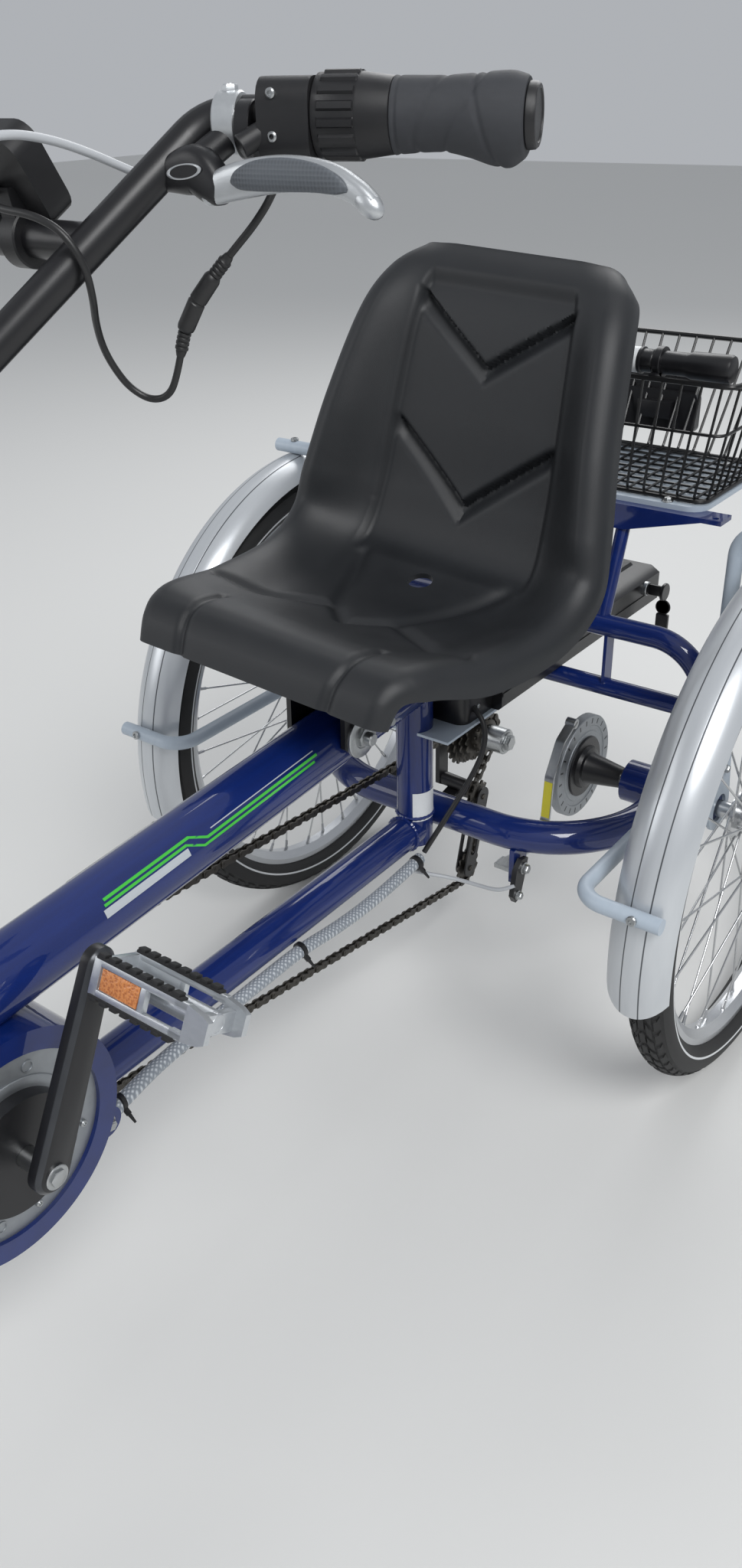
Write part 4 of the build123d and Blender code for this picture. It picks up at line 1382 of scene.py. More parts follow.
rear_foil = silver_with_groove_shade("silver_foil_on_plastic_rear", rear_track)
front_foil = silver_with_groove_shade("silver_foil_on_plastic_front", 0.0)
rear_band = (305, 325, 33, -15, 190.5, 42)
front_band = (254, 272, 30, 25, 150, 38)
for side_name, side in (("left", 1), ("right", -1)):
    middle = (side * rear_track, 0, axle_height)
    fender("fender_band_" + side_name, "chassis", "fender_" + side_name, *middle, *rear_band, rear_foil)
middle = (0, front_y, front_z)
fender("fender_band_front", "steering", "fender_front", *middle, *front_band, front_foil)
wire_stays = []
for side in (-1, 1):
    for degrees in (42, 132):
        turn = radians(degrees)
        stay_end = place(side * 29, front_y + 254 * cos(turn), front_z + 254 * sin(turn))
        wire_stays.append(rod(place(side * 57, front_y, front_z), stay_end, 2.25, 10))
make_piece("front_fender_stays", "steering", *gather(wire_stays), [stainless], "silver_paint")
stay_paint = moulded("stay_pale_enamel", "b4bfca", "a8b4c0", 0.36, 1.0, 0.06)
dress("stays_left stays_right battery_tray", stay_paint)
fender_screws = []
for side in (-1, 1):
    for stay_turn in (169.0, 90.0):
        turn = radians(stay_turn)
        shift = -20 if stay_turn == 90.0 else 0
        spot = place(side * rear_track, shift + 341 * cos(turn), axle_height + 341 * sin(turn))
        fender_screws.append(socket_screw(spot, (0, cos(turn), sin(turn)), 10, 2.6))
    for y, z in ((-41, 352), (-20, 352), (1, 352)):
        fender_screws.append(hex_bolt(place(side * 269, y, z), (side, 0, 0), 8, 4, 11))
make_piece("fender_screws", "chassis", *gather(fender_screws), [zinc_plate], "steel")

# Battery
# A black ABS case with glossy sides on a pale tray, its charging block in front, and a lock on
# the left with two keys on a ring.
black_abs = moulded("black_abs_case", "101012", "17171a", 0.28, 0.9, 0.12)
battery_corners = [
    (-61, 427.5), (-57, 423.5), (57, 423.5), (61, 427.5), (61, 463), (49, 470.5), (-49, 470.5), (-61, 463)
]
battery_shapes = [
    slab(battery_corners, -140, 250, front_spot, 2.2),
    slab([(-62, 440), (62, 440), (62, 444), (-62, 444)], -139, 249, front_spot, 0.5),
    slab([(-30, 470), (30, 470), (26, 473.6), (-26, 473.6)], 150, 236, front_spot, 1.0),
]
make_piece("battery_case", "chassis", *gather(battery_shapes), [black_abs], "black_plastic", "battery")
block_corners = [(-48, -140), (48, -140)] + [
    (sx * (35 + 13 * cos(t)), -183 - 13 * sin(t))
    for sx, turns in ((1, (0, 18, 36, 54, 72, 90)), (-1, (90, 72, 54, 36, 18, 0)))
    for t in [radians(degrees) for degrees in turns]
]
make_piece(
    "battery_socket",
    "chassis",
    *slab(block_corners, 423.5, 497, place, 2.0),
    [black_abs],
    "black_plastic",
    "battery_block",
)
bracket_corners = [(-240, 378), (-200, 378), (-150, 422), (-240, 422)]
make_piece(
    "tray_bracket", "chassis", *slab(bracket_corners, -2, 2, side_spot, 0.4), [stay_paint], "light_paint"
)
make_piece(
    "battery_lock",
    "chassis",
    *turned(place(60.5, 209, 454), (1, 0, 0), [(0, 9), (5, 9), (5.8, 8.2), (5.8, 4), (5, 3.8)], 28),
    [zinc_plate],
    "steel",
)
lock_spot = (66.5, 209, 454)
key_shapes = [
    turned(place(*lock_spot), (1, 0, 0), [(-1, 8.2), (0.8, 8.2), (1.2, 7.4)], 24),
    brick(place, (66, 207.6, 447), (86, 210.4, 461), 0.6),
    turned(place(86, 209, 454), (1, 0, 0), [(0, 11), (0.6, 11.6), (3.6, 11.6), (4.2, 11)], 18),
    turned(place(88, 209, 434), (0, 1, 0), [(-0.8, 10), (0.8, 10), (0.8, 8.6), (-0.8, 8.6)], 24),
    brick(place, (80, 206, 399), (97, 212, 425), 2.2),
    brick(place, (86, 213.5, 392), (89, 216, 424), 0.5),
]
make_piece("battery_keys", "chassis", *gather(key_shapes), [black_abs], "black_plastic")
tray_screws = gather(
    [
        hex_bolt(place(40, -196, 420.6), (0, 0, -1), 8, 4, 12),
        hex_bolt(place(-40, -196, 420.6), (0, 0, -1), 8, 4, 12),
        socket_screw(place(48, -168, 488), (1, 0, 0), 5, 1.4),
        socket_screw(place(48, -168, 438), (1, 0, 0), 5, 1.4),
    ]
)
make_piece("tray_screws", "chassis", *tray_screws, [zinc_plate], "steel")


# Brake
# A bright steel strap holds the drum to the loop's tab; a blank yellow label is on its lower
# part. A black forged arm pulls the brake, on plated bolts.
def filleted(points, bend, steps=7):
    """A line through points in mm with each corner rounded."""
    line = [Vector(points[0])]
    for before, corner, after in zip(points, points[1:], points[2:]):
        corner, before, after = Vector(corner), Vector(before), Vector(after)
        into, out = corner - before, after - corner
        turn = into.angle(out)
        if turn < 0.02:
            continue
        reach = min(bend * tan(turn / 2), into.length * 0.46, out.length * 0.46)
        start = corner - into.normalized() * reach
        end = corner + out.normalized() * reach
        for number in range(steps + 1):
            t = number / steps
            line.append(start * (1 - t) ** 2 + corner * 2 * t * (1 - t) + end * t * t)
    line.append(Vector(points[-1]))
    return line


def swept(line, section, side=None):
    """A section in mm carried along a line in mm; the section's first axis starts along side."""
    first = (line[1] - line[0]).normalized()
    keep = Vector(side) if side else first.orthogonal()
    points = []
    for index, spot in enumerate(line):
        before, after = line[max(0, index - 1)], line[min(len(line) - 1, index + 1)]
        run = (after - before).normalized()
        keep = (keep - run * keep.dot(run)).normalized()
        other = run.cross(keep)
        for u, v in section:
            point = spot + keep * u + other * v
            points.append(place(point.x, point.y, point.z))
    return points, closed_rings(len(line), len(section))


strap_line = [
    (90, y, z) for y, z in ((-24, 371), (-52, 356), (-74, 318), (-79, 262), (-104, 238), (-178, 254))
]
strap_section = [(-6, -1), (-5.6, -1.4), (5.6, -1.4), (6, -1), (6, 1), (5.6, 1.4), (-5.6, 1.4), (-6, 1)]
strap_shapes = [
    swept(filleted(strap_line, 14), strap_section, (1, 0, 0)),
    slab([(-184, 250.5), (-166, 250.5), (-166, 256), (-184, 256)], 84, 109, side_spot, 0.8),
    turned(place(84, -27, 369), (1, 0, 0), [(0, 6), (12, 6)], 24),
]
make_piece("brake_strap", "chassis", *gather(strap_shapes), [zinc_plate], "steel")
arm_corners = [(-176, 274), (-190, 278), (-200, 268), (-206, 236), (-200, 226), (-190, 228), (-182, 252)]
make_piece(
    "brake_pull_arm", "chassis", *slab(arm_corners, 117, 123, side_spot, 1.6), [black_satin], "black_paint"
)
yellow_film = moulded("yellow_film_label", "d9cf3a", "c9bf30", 0.4, 1.0, 0.03)
label_corners = [(84.6, -76.2, 312), (84.6, -80.6, 266), (95.4, -80.6, 266), (95.4, -76.2, 312)]
label_points = [place(*corner) for corner in label_corners]
make_piece("strap_label", "chassis", label_points, [(0, 1, 2, 3)], [yellow_film], "steel")
arm_bolts = gather(
    [
        rod(place(114, -186, 265), place(124, -186, 265), 5),
        hex_bolt(place(123, -186, 265), (1, 0, 0), 10, 5.5, 14),
        hex_bolt(place(123, -197, 235), (1, 0, 0), 8, 4.5, 11),
        hex_bolt(place(115, -172, 255), (1, 0, 0), 8, 4, 11),
    ]
)
make_piece("arm_bolts", "chassis", *arm_bolts, [zinc_plate], "steel")


# Seat
# One moulded shell of satin charcoal plastic: a dished pan, raised sides, a deep edge turned
# back all round, two pressed chevrons in the back and a drain hole where the pan meets it.
def smooth_rows(rows, count):
    """Rows of numbers joined by a smooth line, read at equal steps."""
    lines = []
    last = len(rows) - 1
    for number in range(count):
        spot = number / (count - 1) * last
        index = min(int(spot), last - 1)
        t = spot - index
        four = [rows[max(0, min(last, index + shift))] for shift in (-1, 0, 1, 2)]
        weights = (
            -0.5 * t + t * t - 0.5 * t**3,
            1 - 2.5 * t * t + 1.5 * t**3,
            0.5 * t + 2 * t * t - 1.5 * t**3,
            -0.5 * t * t + 0.5 * t**3,
        )
        lines.append([sum(w * row[i] for w, row in zip(weights, four)) for i in range(len(rows[0]))])
    return lines


def step_between(low, high, value):
    """A smooth rise from 0 to 1 between two values."""
    t = min(1.0, max(0.0, (value - low) / (high - low)))
    return t * t * (3 - 2 * t)


# y, z, lean, half width, flat half, rise of the sides, depth of the edge
seat_rows = [
    (-470.0, 571.0, 70.0, 142.0, 96.0, 1.0, 18.0),
    (-460.0, 594.0, 58.0, 146.0, 98.0, 1.0, 20.0),
    (-440.0, 608.0, 24.0, 153.0, 102.0, 1.0, 24.0),
    (-408.0, 607.0, -9.0, 160.0, 105.0, 4.0, 28.0),
    (-330.0, 583.0, -12.0, 176.0, 108.0, 14.0, 34.0),
    (-230.0, 577.0, 0.0, 186.0, 112.0, 22.0, 34.0),
    (-165.0, 597.0, 45.0, 188.0, 112.0, 36.0, 34.0),
    (-138.0, 650.0, 74.0, 182.0, 108.0, 46.0, 34.0),
    (-122.0, 730.0, 80.0, 168.0, 104.0, 40.0, 34.0),
    (-104.0, 815.0, 76.0, 152.0, 98.0, 22.0, 34.0),
    (-84.0, 858.0, 62.0, 138.0, 90.0, 6.0, 30.0),
    (-60.0, 880.0, 30.0, 118.0, 80.0, -2.0, 24.0),
]
# Chevrons: half width, upper line's height at the ends and the point, lower line's
chevron_rows = [(93.0, 848.0, 783.0, 824.0, 758.0), (98.0, 724.0, 650.0, 697.0, 622.0)]
chevron_depth = 11.0
# Shallow creases: from x, along, to x, along, half width, depth; along is y on the pan
crease_rows = [
    (36.0, -297.0, 146.0, -352.0, 7.0, 6.0),
    (36.0, -297.0, 0.0, -332.0, 7.0, 6.0),
    (36.0, -297.0, 88.0, -185.0, 8.0, 5.4),
    (94.0, -396.0, 90.0, -452.0, 4.5, 4.0),
    (90.0, -452.0, 84.0, -474.0, 4.5, 4.0),
]


def chevron_sink(x, z):
    """How deep a chevron is pressed in at a place on the back: steep above, gentle below."""
    sink = 0.0
    for half, upper_end, upper_point, lower_end, lower_point in chevron_rows:
        share = abs(x) / half
        if share > 1.0:
            continue
        upper = upper_point + (upper_end - upper_point) * share
        lower = lower_point + (lower_end - lower_point) * share
        t = (upper - z) / (upper - lower)
        if 0 < t < 1:
            wall = step_between(0.0, 0.22, t) * (1 - step_between(0.2, 1.0, t))
            sink = max(sink, chevron_depth * wall * (1 - step_between(0.86, 1.0, share)))
    return sink


def crease_sink(x, y):
    """How deep the pan's creases are at a place."""
    sink = 0.0
    for x0, y0, x1, y1, half, depth in crease_rows:
        run_x, run_y = x1 - x0, y1 - y0
        share = ((abs(x) - x0) * run_x + (y - y0) * run_y) / (run_x * run_x + run_y * run_y)
        share = min(1.0, max(0.0, share))
        away = hypot(abs(x) - x0 - share * run_x, y - y0 - share * run_y)
        sink = max(sink, depth * exp(-((away / half) ** 2)))
    return sink


# How deep the back's middle sinks between its bolsters, in mm
panel_sink = 7.5
# Steps across half the seat: up the edge, round it, over the side, over the flat middle
edge_steps, round_steps, side_steps, flat_steps = 3, 8, 20, 36
seat_lines = smooth_rows(seat_rows, 321)
seat_points, seat_faces = [], []
for y, z, lean, half, flat, rise, lip in seat_lines:
    lean = radians(lean)
    up = Vector((0, -sin(lean), cos(lean)))
    spots = []
    round_off = min(22.0, lip - 3)
    for number in range(edge_steps + 1):
        spots.append((half, rise - lip + (lip - round_off) * number / edge_steps))
    for number in range(1, round_steps + 1):
        turn = radians(90 * number / round_steps)
        spots.append((half - round_off + round_off * cos(turn), rise - round_off + round_off * sin(turn)))
    inner = half - round_off
    for number in range(1, side_steps + 1):
        x = inner - (inner - flat + 12) * number / side_steps
        spots.append((x, rise * step_between(flat - 12, inner + 4, x)))
    for number in range(1, flat_steps + 1):
        spots.append(((flat - 12) * (1 - number / flat_steps), 0.0))
    whole_row = spots + [(-x, h) for x, h in reversed(spots[:-1])]
    on_back = step_between(-185.0, -160.0, y)
    for x, h in whole_row:
        spot_z = z + up.z * h
        sink = 0.0
        if abs(x) < 104 and on_back > 0:
            edge = 1 - step_between(flat - 12, flat - 4, abs(x))
            top = 1 - step_between(846.0, 862.0, spot_z)
            sink += panel_sink * edge * top * on_back + chevron_sink(x, spot_z) * on_back
        if y < -170:
            sink += crease_sink(x, y)
        seat_points.append(place(x, y + up.y * (h - sink), z + up.z * (h - sink)))
columns = len(seat_points) // len(seat_lines)
for row in range(len(seat_lines) - 1):
    for column in range(columns - 1):
        a = row * columns + column
        seat_faces.append((a, a + 1, a + columns + 1, a + columns))
# The shell's own turn on its carriage, as it stands in the photograph
seat_pivot = place(0, -250, 650)
seat_roll = Matrix.Rotation(radians(3.4), 4, "Y")
seat_turn = Matrix.Translation(seat_pivot) @ seat_roll @ Matrix.Translation(-seat_pivot)
seat_points = [seat_turn @ point for point in seat_points]
# Charcoal polypropylene: a fine leather-like grain that dulls a wide soft shine.
seat_plastic, seat_out = new_material("charcoal_polypropylene")
seat_grain = add_node(seat_plastic, "ShaderNodeTexVoronoi", {"Scale": 900.0})
seat_drift = add_node(seat_plastic, "ShaderNodeTexNoise", {"Scale": 11.0, "Detail": 6.0})
seat_tone = two_tone(seat_plastic, "191b1e", "222427", seat_drift.outputs[0])
seat_gloss = add_node(
    seat_plastic, "ShaderNodeMapRange", {"To Min": 0.40, "To Max": 0.52}, {"Value": seat_drift.outputs[0]}
)
seat_bump = bumped(seat_plastic, 0.25, 0.0004, seat_grain.outputs["Distance"])
seat_links = {"Base Color": seat_tone, "Roughness": seat_gloss.outputs[0], "Normal": seat_bump}
finish_skin(seat_plastic, seat_out, None, seat_links)
drain_start = seat_turn @ place(0, -194, 540)
drain_cutter = turned(drain_start, (0.05, -0.2, 1), [(0, 13), (80, 13)], 32)
seat_mesh = thickened("seat_shell_moulding", seat_points, seat_faces, 0.0055, drain_cutter)
shell_piece("seat_shell_moulding", "chassis", "seat", seat_mesh, seat_plastic, 45)

# Seat carriage
# Bent steel plates, painted, that straddle the neck and clamp it with plated bolts, so that
# the seat slides to the rider's reach.
plate_corners = [(-386, 478), (-372, 466), (-346, 466), (-318, 496), (-262, 534), (-250, 562), (-384, 562)]
carriage_shapes = [slab(plate_corners, side * 30.3, side * 35.8, side_spot, 1.0) for side in (-1, 1)]


def on_seat(x, y, z):
    """A place in mm that turns with the seat."""
    return seat_turn @ place(x, y, z)


carriage_shapes.append(brick(on_seat, (-85, -370, 554), (85, -200, 569), 1.5))
make_piece(
    "carriage_plates", "chassis", *gather(carriage_shapes), [black_satin], "black_paint", "seat_carriage"
)
# Clamp bolts: how far out, y, z, rows of (along, radius), steps
clamp_rows = [
    (35.8, -362, 483, [(0, 21.5), (3.2, 21.5), (4, 20.4), (4, 12), (3.2, 11)], 40),
    (39, -362, 483, [(0, 10), (4, 10), (4.6, 9)], 6),
    (43, -362, 483, [(0, 6.4), (8, 6.4), (9, 5.4)], 20),
    (35.8, -334, 491, [(0, 9.5), (3, 9.5)], 24),
    (38.5, -334, 491, [(0, 8), (6, 8), (6.8, 7)], 6),
    (45, -334, 491, [(0, 4.5), (9, 4.5), (10, 3.8)], 16),
]
bolt_shapes = [
    turned(place(side * x, y, z), (side, 0, 0), rows, steps)
    for side in (-1, 1)
    for x, y, z, rows, steps in clamp_rows
]
make_piece("carriage_bolts", "chassis", *gather(bolt_shapes), [zinc_plate], "steel")


# Handlebar and stem
# One bent steel tube each side on a riser, powder coated black with a fine orange-peel skin.
dress("handlebar", black_satin)

# Grips and twist shifters
# Soft grey rubber grips shaped for the palm, with pressed waves; black nylon shifters inboard.
bar_bend = place(128, -604, 1017)
bar_run = (place(300, -540, 1016) - bar_bend).normalized()
bar_back = Vector((-bar_run.y, bar_run.x, 0)).normalized()
bar_up = bar_run.cross(bar_back)
if bar_up.z < 0:
    bar_up = -bar_up


def on_bar(side, length, back, up):
    """A place beside a bar end: its length from the bend, how far back and up, in mm."""
    point = bar_bend + (bar_run * length + bar_back * back + bar_up * up) / 1000
    return Vector((side * point.x, point.y, point.z))


grip_rubber = moulded("soft_grip_rubber", "2b2d31", "34363b", 0.58, 1.0, 0.45)
shifter_nylon = moulded("black_shifter_nylon", "141416", "1c1c1e", 0.38, 0.9, 0.2)
# length, half depth, half height, rise
grip_rows = [
    (111.0, 18.0, 19.5, 0.0),
    (120.0, 17.6, 19.0, 0.3),
    (138.0, 17.2, 18.6, 0.5),
    (152.0, 18.0, 20.2, -0.5),
    (165.0, 19.2, 22.6, -2.0),
    (175.0, 19.8, 23.3, -2.5),
    (182.0, 18.8, 20.6, -1.4),
    (184.0, 17.4, 18.8, -0.8),
]
for side_name, side in (("left", 1), ("right", -1)):
    grip_points = []
    grip_steps = 56
    grip_lines = smooth_rows(grip_rows, 90)
    for length, deep, high, rise in grip_lines:
        for step in range(grip_steps):
            turn = 2 * pi * step / grip_steps
            wave_a = length - 132 - 9 * sin(turn + 0.6)
            wave_b = length - 150 - 11 * sin(turn + 0.2)
            wave_c = length - 163 + 8 * sin(turn - 0.4)
            sink = 0.9 * sum(exp(-((wave / 1.6) ** 2)) for wave in (wave_a, wave_b, wave_c))
            sink += 0.6 * exp(-(((length - 113.5) / 1.0) ** 2))
            grip_points.append(
                on_bar(side, length, (deep - sink) * cos(turn), rise + (high - sink) * sin(turn))
            )
    grip_faces = ring_walls(len(grip_lines), grip_steps)
    grip_faces.append(tuple(range(grip_steps)))
    grip_faces.append(tuple(range((len(grip_lines) - 1) * grip_steps, len(grip_lines) * grip_steps)))
    cap_rows = [(184.2, 16.2), (184.8, 16.6), (188.6, 16.2), (189.8, 15.2), (190.0, 13.0), (189.2, 12.6)]
    cap_rows.append((189.2, 5.0))
    cap_shape = turned(
        on_bar(side, 0, 0, -0.6), on_bar(side, 1, 0, 0) - on_bar(side, 0, 0, 0), cap_rows, 32
    )
    make_piece(
        "grip_moulding_" + side_name,
        "steering",
        *gather_painted([painted((grip_points, grip_faces), 0), painted(cap_shape, 1)]),
        [grip_rubber, shifter_nylon],
        "rubber",
        "grips",
    )


def bar_spot(side):
    """A placing function beside a bar end: back, up, then the length along it."""

    def spot(u, v, w):
        return on_bar(side, w, u, v)

    return spot


for side_name, side in (("left", 1), ("right", -1)):
    twist_shapes = [slab(round_corners(20, 21.5, 12, (-3, -1.5)), 37, 67, bar_spot(side), 2.0)]
    ring_points = []
    ring_steps = 128
    ring_rows = [
        (67.0, 20.8, 0),
        (67.6, 21.5, 0),
        (71.0, 21.5, 0),
        (71.6, 21.3, 1),
        (91.4, 21.3, 1),
        (92.0, 21.5, 0),
        (93.0, 21.5, 0),
        (110.5, 19.2, 0),
        (110.9, 18.4, 0),
    ]
    for length, radius, ribbed in ring_rows:
        for step in range(ring_steps):
            turn = 2 * pi * step / ring_steps
            reach = radius + (1.5 if ribbed and step % 8 in (1, 2, 3, 4) else 0.0)
            ring_points.append(on_bar(side, length, reach * cos(turn), reach * sin(turn)))
    ring_faces = ring_walls(len(ring_rows), ring_steps)
    ring_faces.append(tuple(range(ring_steps)))
    ring_faces.append(tuple(range((len(ring_rows) - 1) * ring_steps, len(ring_rows) * ring_steps)))
    twist_shapes.append((ring_points, ring_faces))
    twist_shapes.append(rod(on_bar(side, 40, -15, -6), on_bar(side, 27, -24, -14), 6.5, 20))
    make_piece(
        "twist_shifter_" + side_name, "steering", *gather(twist_shapes), [shifter_nylon], "black_plastic"
    )

shifter_screws = []
for side in (-1, 1):
    for back, up in ((-16.5, 12.0), (-16.5, -9.0)):
        start = on_bar(side, 46, back - 6.0, up)
        shifter_screws.append(socket_screw(start, on_bar(side, 46, back - 7.0, up) - start, 5.5, 2.0))
make_piece("shifter_screws", "steering", *gather(shifter_screws), [zinc_plate], "steel")

# Brake levers
# Forged silver blades with a grey dimpled rubber pad, painted shade in its dimples, on black cast
# bodies with a bare oval.
lever_silver = moulded("silver_lever_alloy", "c9ccce", "b9bcbf", 0.32, 0.9, 0.12, 0.75)
pad_rubber, pad_out = new_material("dimpled_pad_rubber")
pad_place = add_node(pad_rubber, "ShaderNodeTexCoord")
pad_cells = add_node(
    pad_rubber,
    "ShaderNodeTexVoronoi",
    {"Scale": 420.0, "Randomness": 0.0},
    {"Vector": pad_place.outputs["Object"]},
)
# Painted shade: each dimple is darker towards its middle, by the same cells as the bump.
pad_grey_with_dimple_shade = two_tone(pad_rubber, "474b50", "5f646a", pad_cells.outputs["Distance"])
pad_bump = bumped(pad_rubber, 0.8, 0.0006, pad_cells.outputs["Distance"])
finish_skin(pad_rubber, pad_out, {"Roughness": 0.55}, {"Base Color": pad_grey_with_dimple_shade, "Normal": pad_bump})


def limb(side, rows, steps=24, square=1.0):
    """A limb through rows of (x, y, z, half depth, half height), oval or squarer across its run."""

    def bent(value):
        return abs(value) ** square * (1 if value > 0 else -1)

    rings = []
    for index, (x, y, z, deep, high) in enumerate(rows):
        before, after = rows[max(0, index - 1)], rows[min(len(rows) - 1, index + 1)]
        run = Vector((after[0] - before[0], after[1] - before[1], after[2] - before[2])).normalized()
        back = Vector((0, 1, 0)) - run * run.y
        back.normalize()
        up = run.cross(back)
        ring = []
        for step in range(steps):
            turn = 2 * pi * step / steps
            spot = Vector((x, y, z)) + back * deep * bent(cos(turn)) + up * high * bent(sin(turn))
            ring.append(place(side * spot.x, spot.y, spot.z))
        rings.append(ring)
    points = [point for ring in rings for point in ring]
    return points, closed_rings(len(rings), steps)


# x, y, z, half depth, half height of the pad on the blade's front
pad_rows = [
    (172.0, -638.0, 987.0, 0.4, 1.0),
    (178.0, -638.6, 988.4, 2.2, 5.0),
    (192.0, -639.0, 990.6, 3.0, 7.6),
    (212.0, -639.0, 991.6, 3.0, 8.2),
    (232.0, -638.8, 990.6, 2.8, 7.0),
    (246.0, -638.4, 987.4, 2.2, 4.6),
    (252.0, -638.0, 985.0, 0.4, 1.0),
]
# x, y, z, half depth, half height of the body and of the blade
lever_body_rows = [
    (110.5, -630.0, 988.0, 6.0, 5.0),
    (112.0, -630.0, 988.0, 8.6, 7.6),
    (120.0, -630.0, 989.0, 9.0, 9.4),
    (132.0, -630.0, 991.0, 9.0, 12.4),
    (142.0, -630.0, 991.5, 9.0, 13.0),
    (152.0, -630.0, 985.0, 8.8, 11.0),
    (159.0, -630.0, 981.0, 8.0, 8.0),
    (161.0, -630.0, 980.0, 5.5, 5.0),
]
blade_rows = [
    (147.0, -632.5, 979.5, 4.0, 5.0),
    (150.0, -632.5, 981.0, 5.4, 7.4),
    (172.0, -632.5, 987.0, 5.5, 9.5),
    (205.0, -632.5, 991.5, 5.5, 9.2),
    (236.0, -632.5, 990.2, 5.5, 8.0),
    (254.0, -632.5, 984.4, 5.4, 6.4),
    (264.0, -632.5, 977.6, 5.2, 6.0),
]
ball_rows = [(10 - 10 * cos(radians(t)), 6.3 * sin(radians(t)) + 0.01) for t in range(0, 181, 15)]
badge_rows = [(0.0, 1.0), (0.5, 1.0), (0.8, 0.94), (0.8, 0.84), (0.4, 0.8)]
badge_steps = 32
for side_name, side in (("left", 1), ("right", -1)):
    pad_shape = limb(side, smooth_rows(pad_rows, 28))
    make_piece("lever_pad_" + side_name, "steering", *pad_shape, [pad_rubber], "rubber")
    body_shapes = [
        limb(side, smooth_rows(lever_body_rows, 30), 28, 0.7),
        rod(place(side * 140, -630, 995), on_bar(side, 15, -8, -9), 8.5, 24),
        rod(on_bar(side, 22, -6, -6), on_bar(side, 31, -6, -6), 15.2, 36),
    ]
    make_piece("lever_body_" + side_name, "steering", *gather(body_shapes), [black_satin], "black_paint")
    blade_shapes = [
        limb(side, smooth_rows(blade_rows, 48), 28, 0.75),
        turned(place(side * 253.5, -632.5, 984.6), (side, 0, -0.68), ball_rows, 24),
    ]
    make_piece("lever_blade_" + side_name, "steering", *gather(blade_shapes), [lever_silver], "alloy")
    band_shapes = [
        turned(
            on_bar(side, 8, -3, -3),
            on_bar(side, 22, -3, -3) - on_bar(side, 8, -3, -3),
            [(0, 15.5), (1, 16.5), (13, 16.5), (14, 15.5)],
            40,
        ),
        rod(place(side * 100, -630, 985.8), place(side * 107, -630, 986.7), 4.5, 16),
        turned(place(side * 106, -630, 986.6), (side, 0, 0.13), [(0, 6.4), (1, 7), (7.5, 7), (9, 6.2)], 12),
        hex_bolt(on_bar(side, 15, -3, 13), on_bar(side, 15, -3, 14) - on_bar(side, 15, -3, 13), 8, 3.4),
    ]
    make_piece("lever_clamp_" + side_name, "steering", *gather(band_shapes), [lever_silver], "alloy")
    badge_points = []
    for along, share in badge_rows:
        for step in range(badge_steps):
            turn = 2 * pi * step / badge_steps
            badge_points.append(
                place(
                    side * (138 + 13.5 * share * cos(turn)),
                    -638.9 - along,
                    991.5 + 4.0 * share * sin(turn) + 1.5 * share * cos(turn),
                )
            )
    badge_faces = [(face, 0) for face in ring_walls(len(badge_rows), badge_steps)]
    badge_face = tuple(range((len(badge_rows) - 1) * badge_steps, len(badge_rows) * badge_steps))
    badge_faces.append((badge_face, 1))
    make_piece(
        "lever_badge_" + side_name,
        "steering",
        badge_points,
        badge_faces,
        [lever_silver, black_satin],
        "alloy",
    )

# Display
# A black ABS case with a dark glass front, on two nylon rings round the bar's brace.
screen_glass = moulded("dark_screen_glass", "0a0c0e", "101316", 0.08, 1.0, 0.0, 0.0, 1.0)
screen_tilt = radians(30)
screen_out = Vector((0, cos(screen_tilt), sin(screen_tilt)))
screen_up = Vector((0, -sin(screen_tilt), cos(screen_tilt)))
screen_middle = place(0, -675, 990)


def on_screen(x, up, out):
    """A place on the display's face, in mm from its middle."""
    return screen_middle + (Vector((x, 0, 0)) + screen_up * up + screen_out * out) / 1000


case_shapes = [slab(round_corners(62, 28, 12), -10, 10, on_screen, 2.6)]
for x in (-38, 38):
    case_shapes.append(
        turned(place(x - 7, -673, 956), (1, 0, 0), [(0, 16), (1, 17), (13, 17), (14, 16)], 36)
    )
    case_shapes.append(
        slab([(-684, 962), (-662, 962), (-668, 984), (-688, 984)], x - 6, x + 6, side_spot, 1.0)
    )
make_piece("display_case", "steering", *gather(case_shapes), [shifter_nylon], "black_plastic", "display")
glass_shape = brick(on_screen, (-44, -21, 9.2), (44, 21, 10.8), 0.7)
make_piece("display_glass", "steering", *glass_shape, [screen_glass], "black_plastic")
button_shapes = [
    brick(on_screen, (x - 4, up - 3.5, 9.0), (x + 4, up + 3.5, 12.2), 1.4)
    for x in (-53, 53)
    for up in (-10, 10)
]
make_piece("display_buttons", "steering", *gather(button_shapes), [grip_rubber], "rubber")

# Rack, basket, pump and rear light
# Black dipped wire basket on a pale plate; a hand pump in two clips on its front rim and a red
# light on its back.
basket_wire = moulded("black_dipped_wire", "0f0f10", "171718", 0.3, 1.0, 0.1)
rack_corners = [
    (-220, 620), (-220, 615), (-198, 615), (-110, 592), (110, 592), (198, 615), (220, 615), (220, 620)
]
eye_cutter = gather([rod(place(x, 34, 600), place(x, 34, 640), 3.2, 24) for x in (-211, 211)])


def drilled(name, shape, cutter):
    """A solid with round holes cut through it."""
    mesh = thickened(name, *shape, 0, cutter)
    points = [vertex.co.copy() for vertex in mesh.vertices]
    faces = [tuple(polygon.vertices) for polygon in mesh.polygons]
    return points, faces


rack_shapes = [drilled("bracket", slab(rack_corners, 26, 54, front_spot, 0.6), eye_cutter)]
for side in (-1, 1):
    rack_shapes.append(rod(place(side * 105, 1, 490), place(side * 105, 40, 602), 8.0, 24))
    rack_shapes.append(weld_ring(place(side * 105, 36.5, 592), (0, 0.34, 1), 8.2, 1.4, 14))
make_piece("rack_bracket", "chassis", *gather(rack_shapes), [navy_gloss], "frame", "rack")
plate_shape = slab(round_corners(193, 92, 22, (0, 130)), 620, 625.6, place, 1.0)
make_piece("rack_top_plate", "chassis", *plate_shape, [stay_paint], "light_paint")


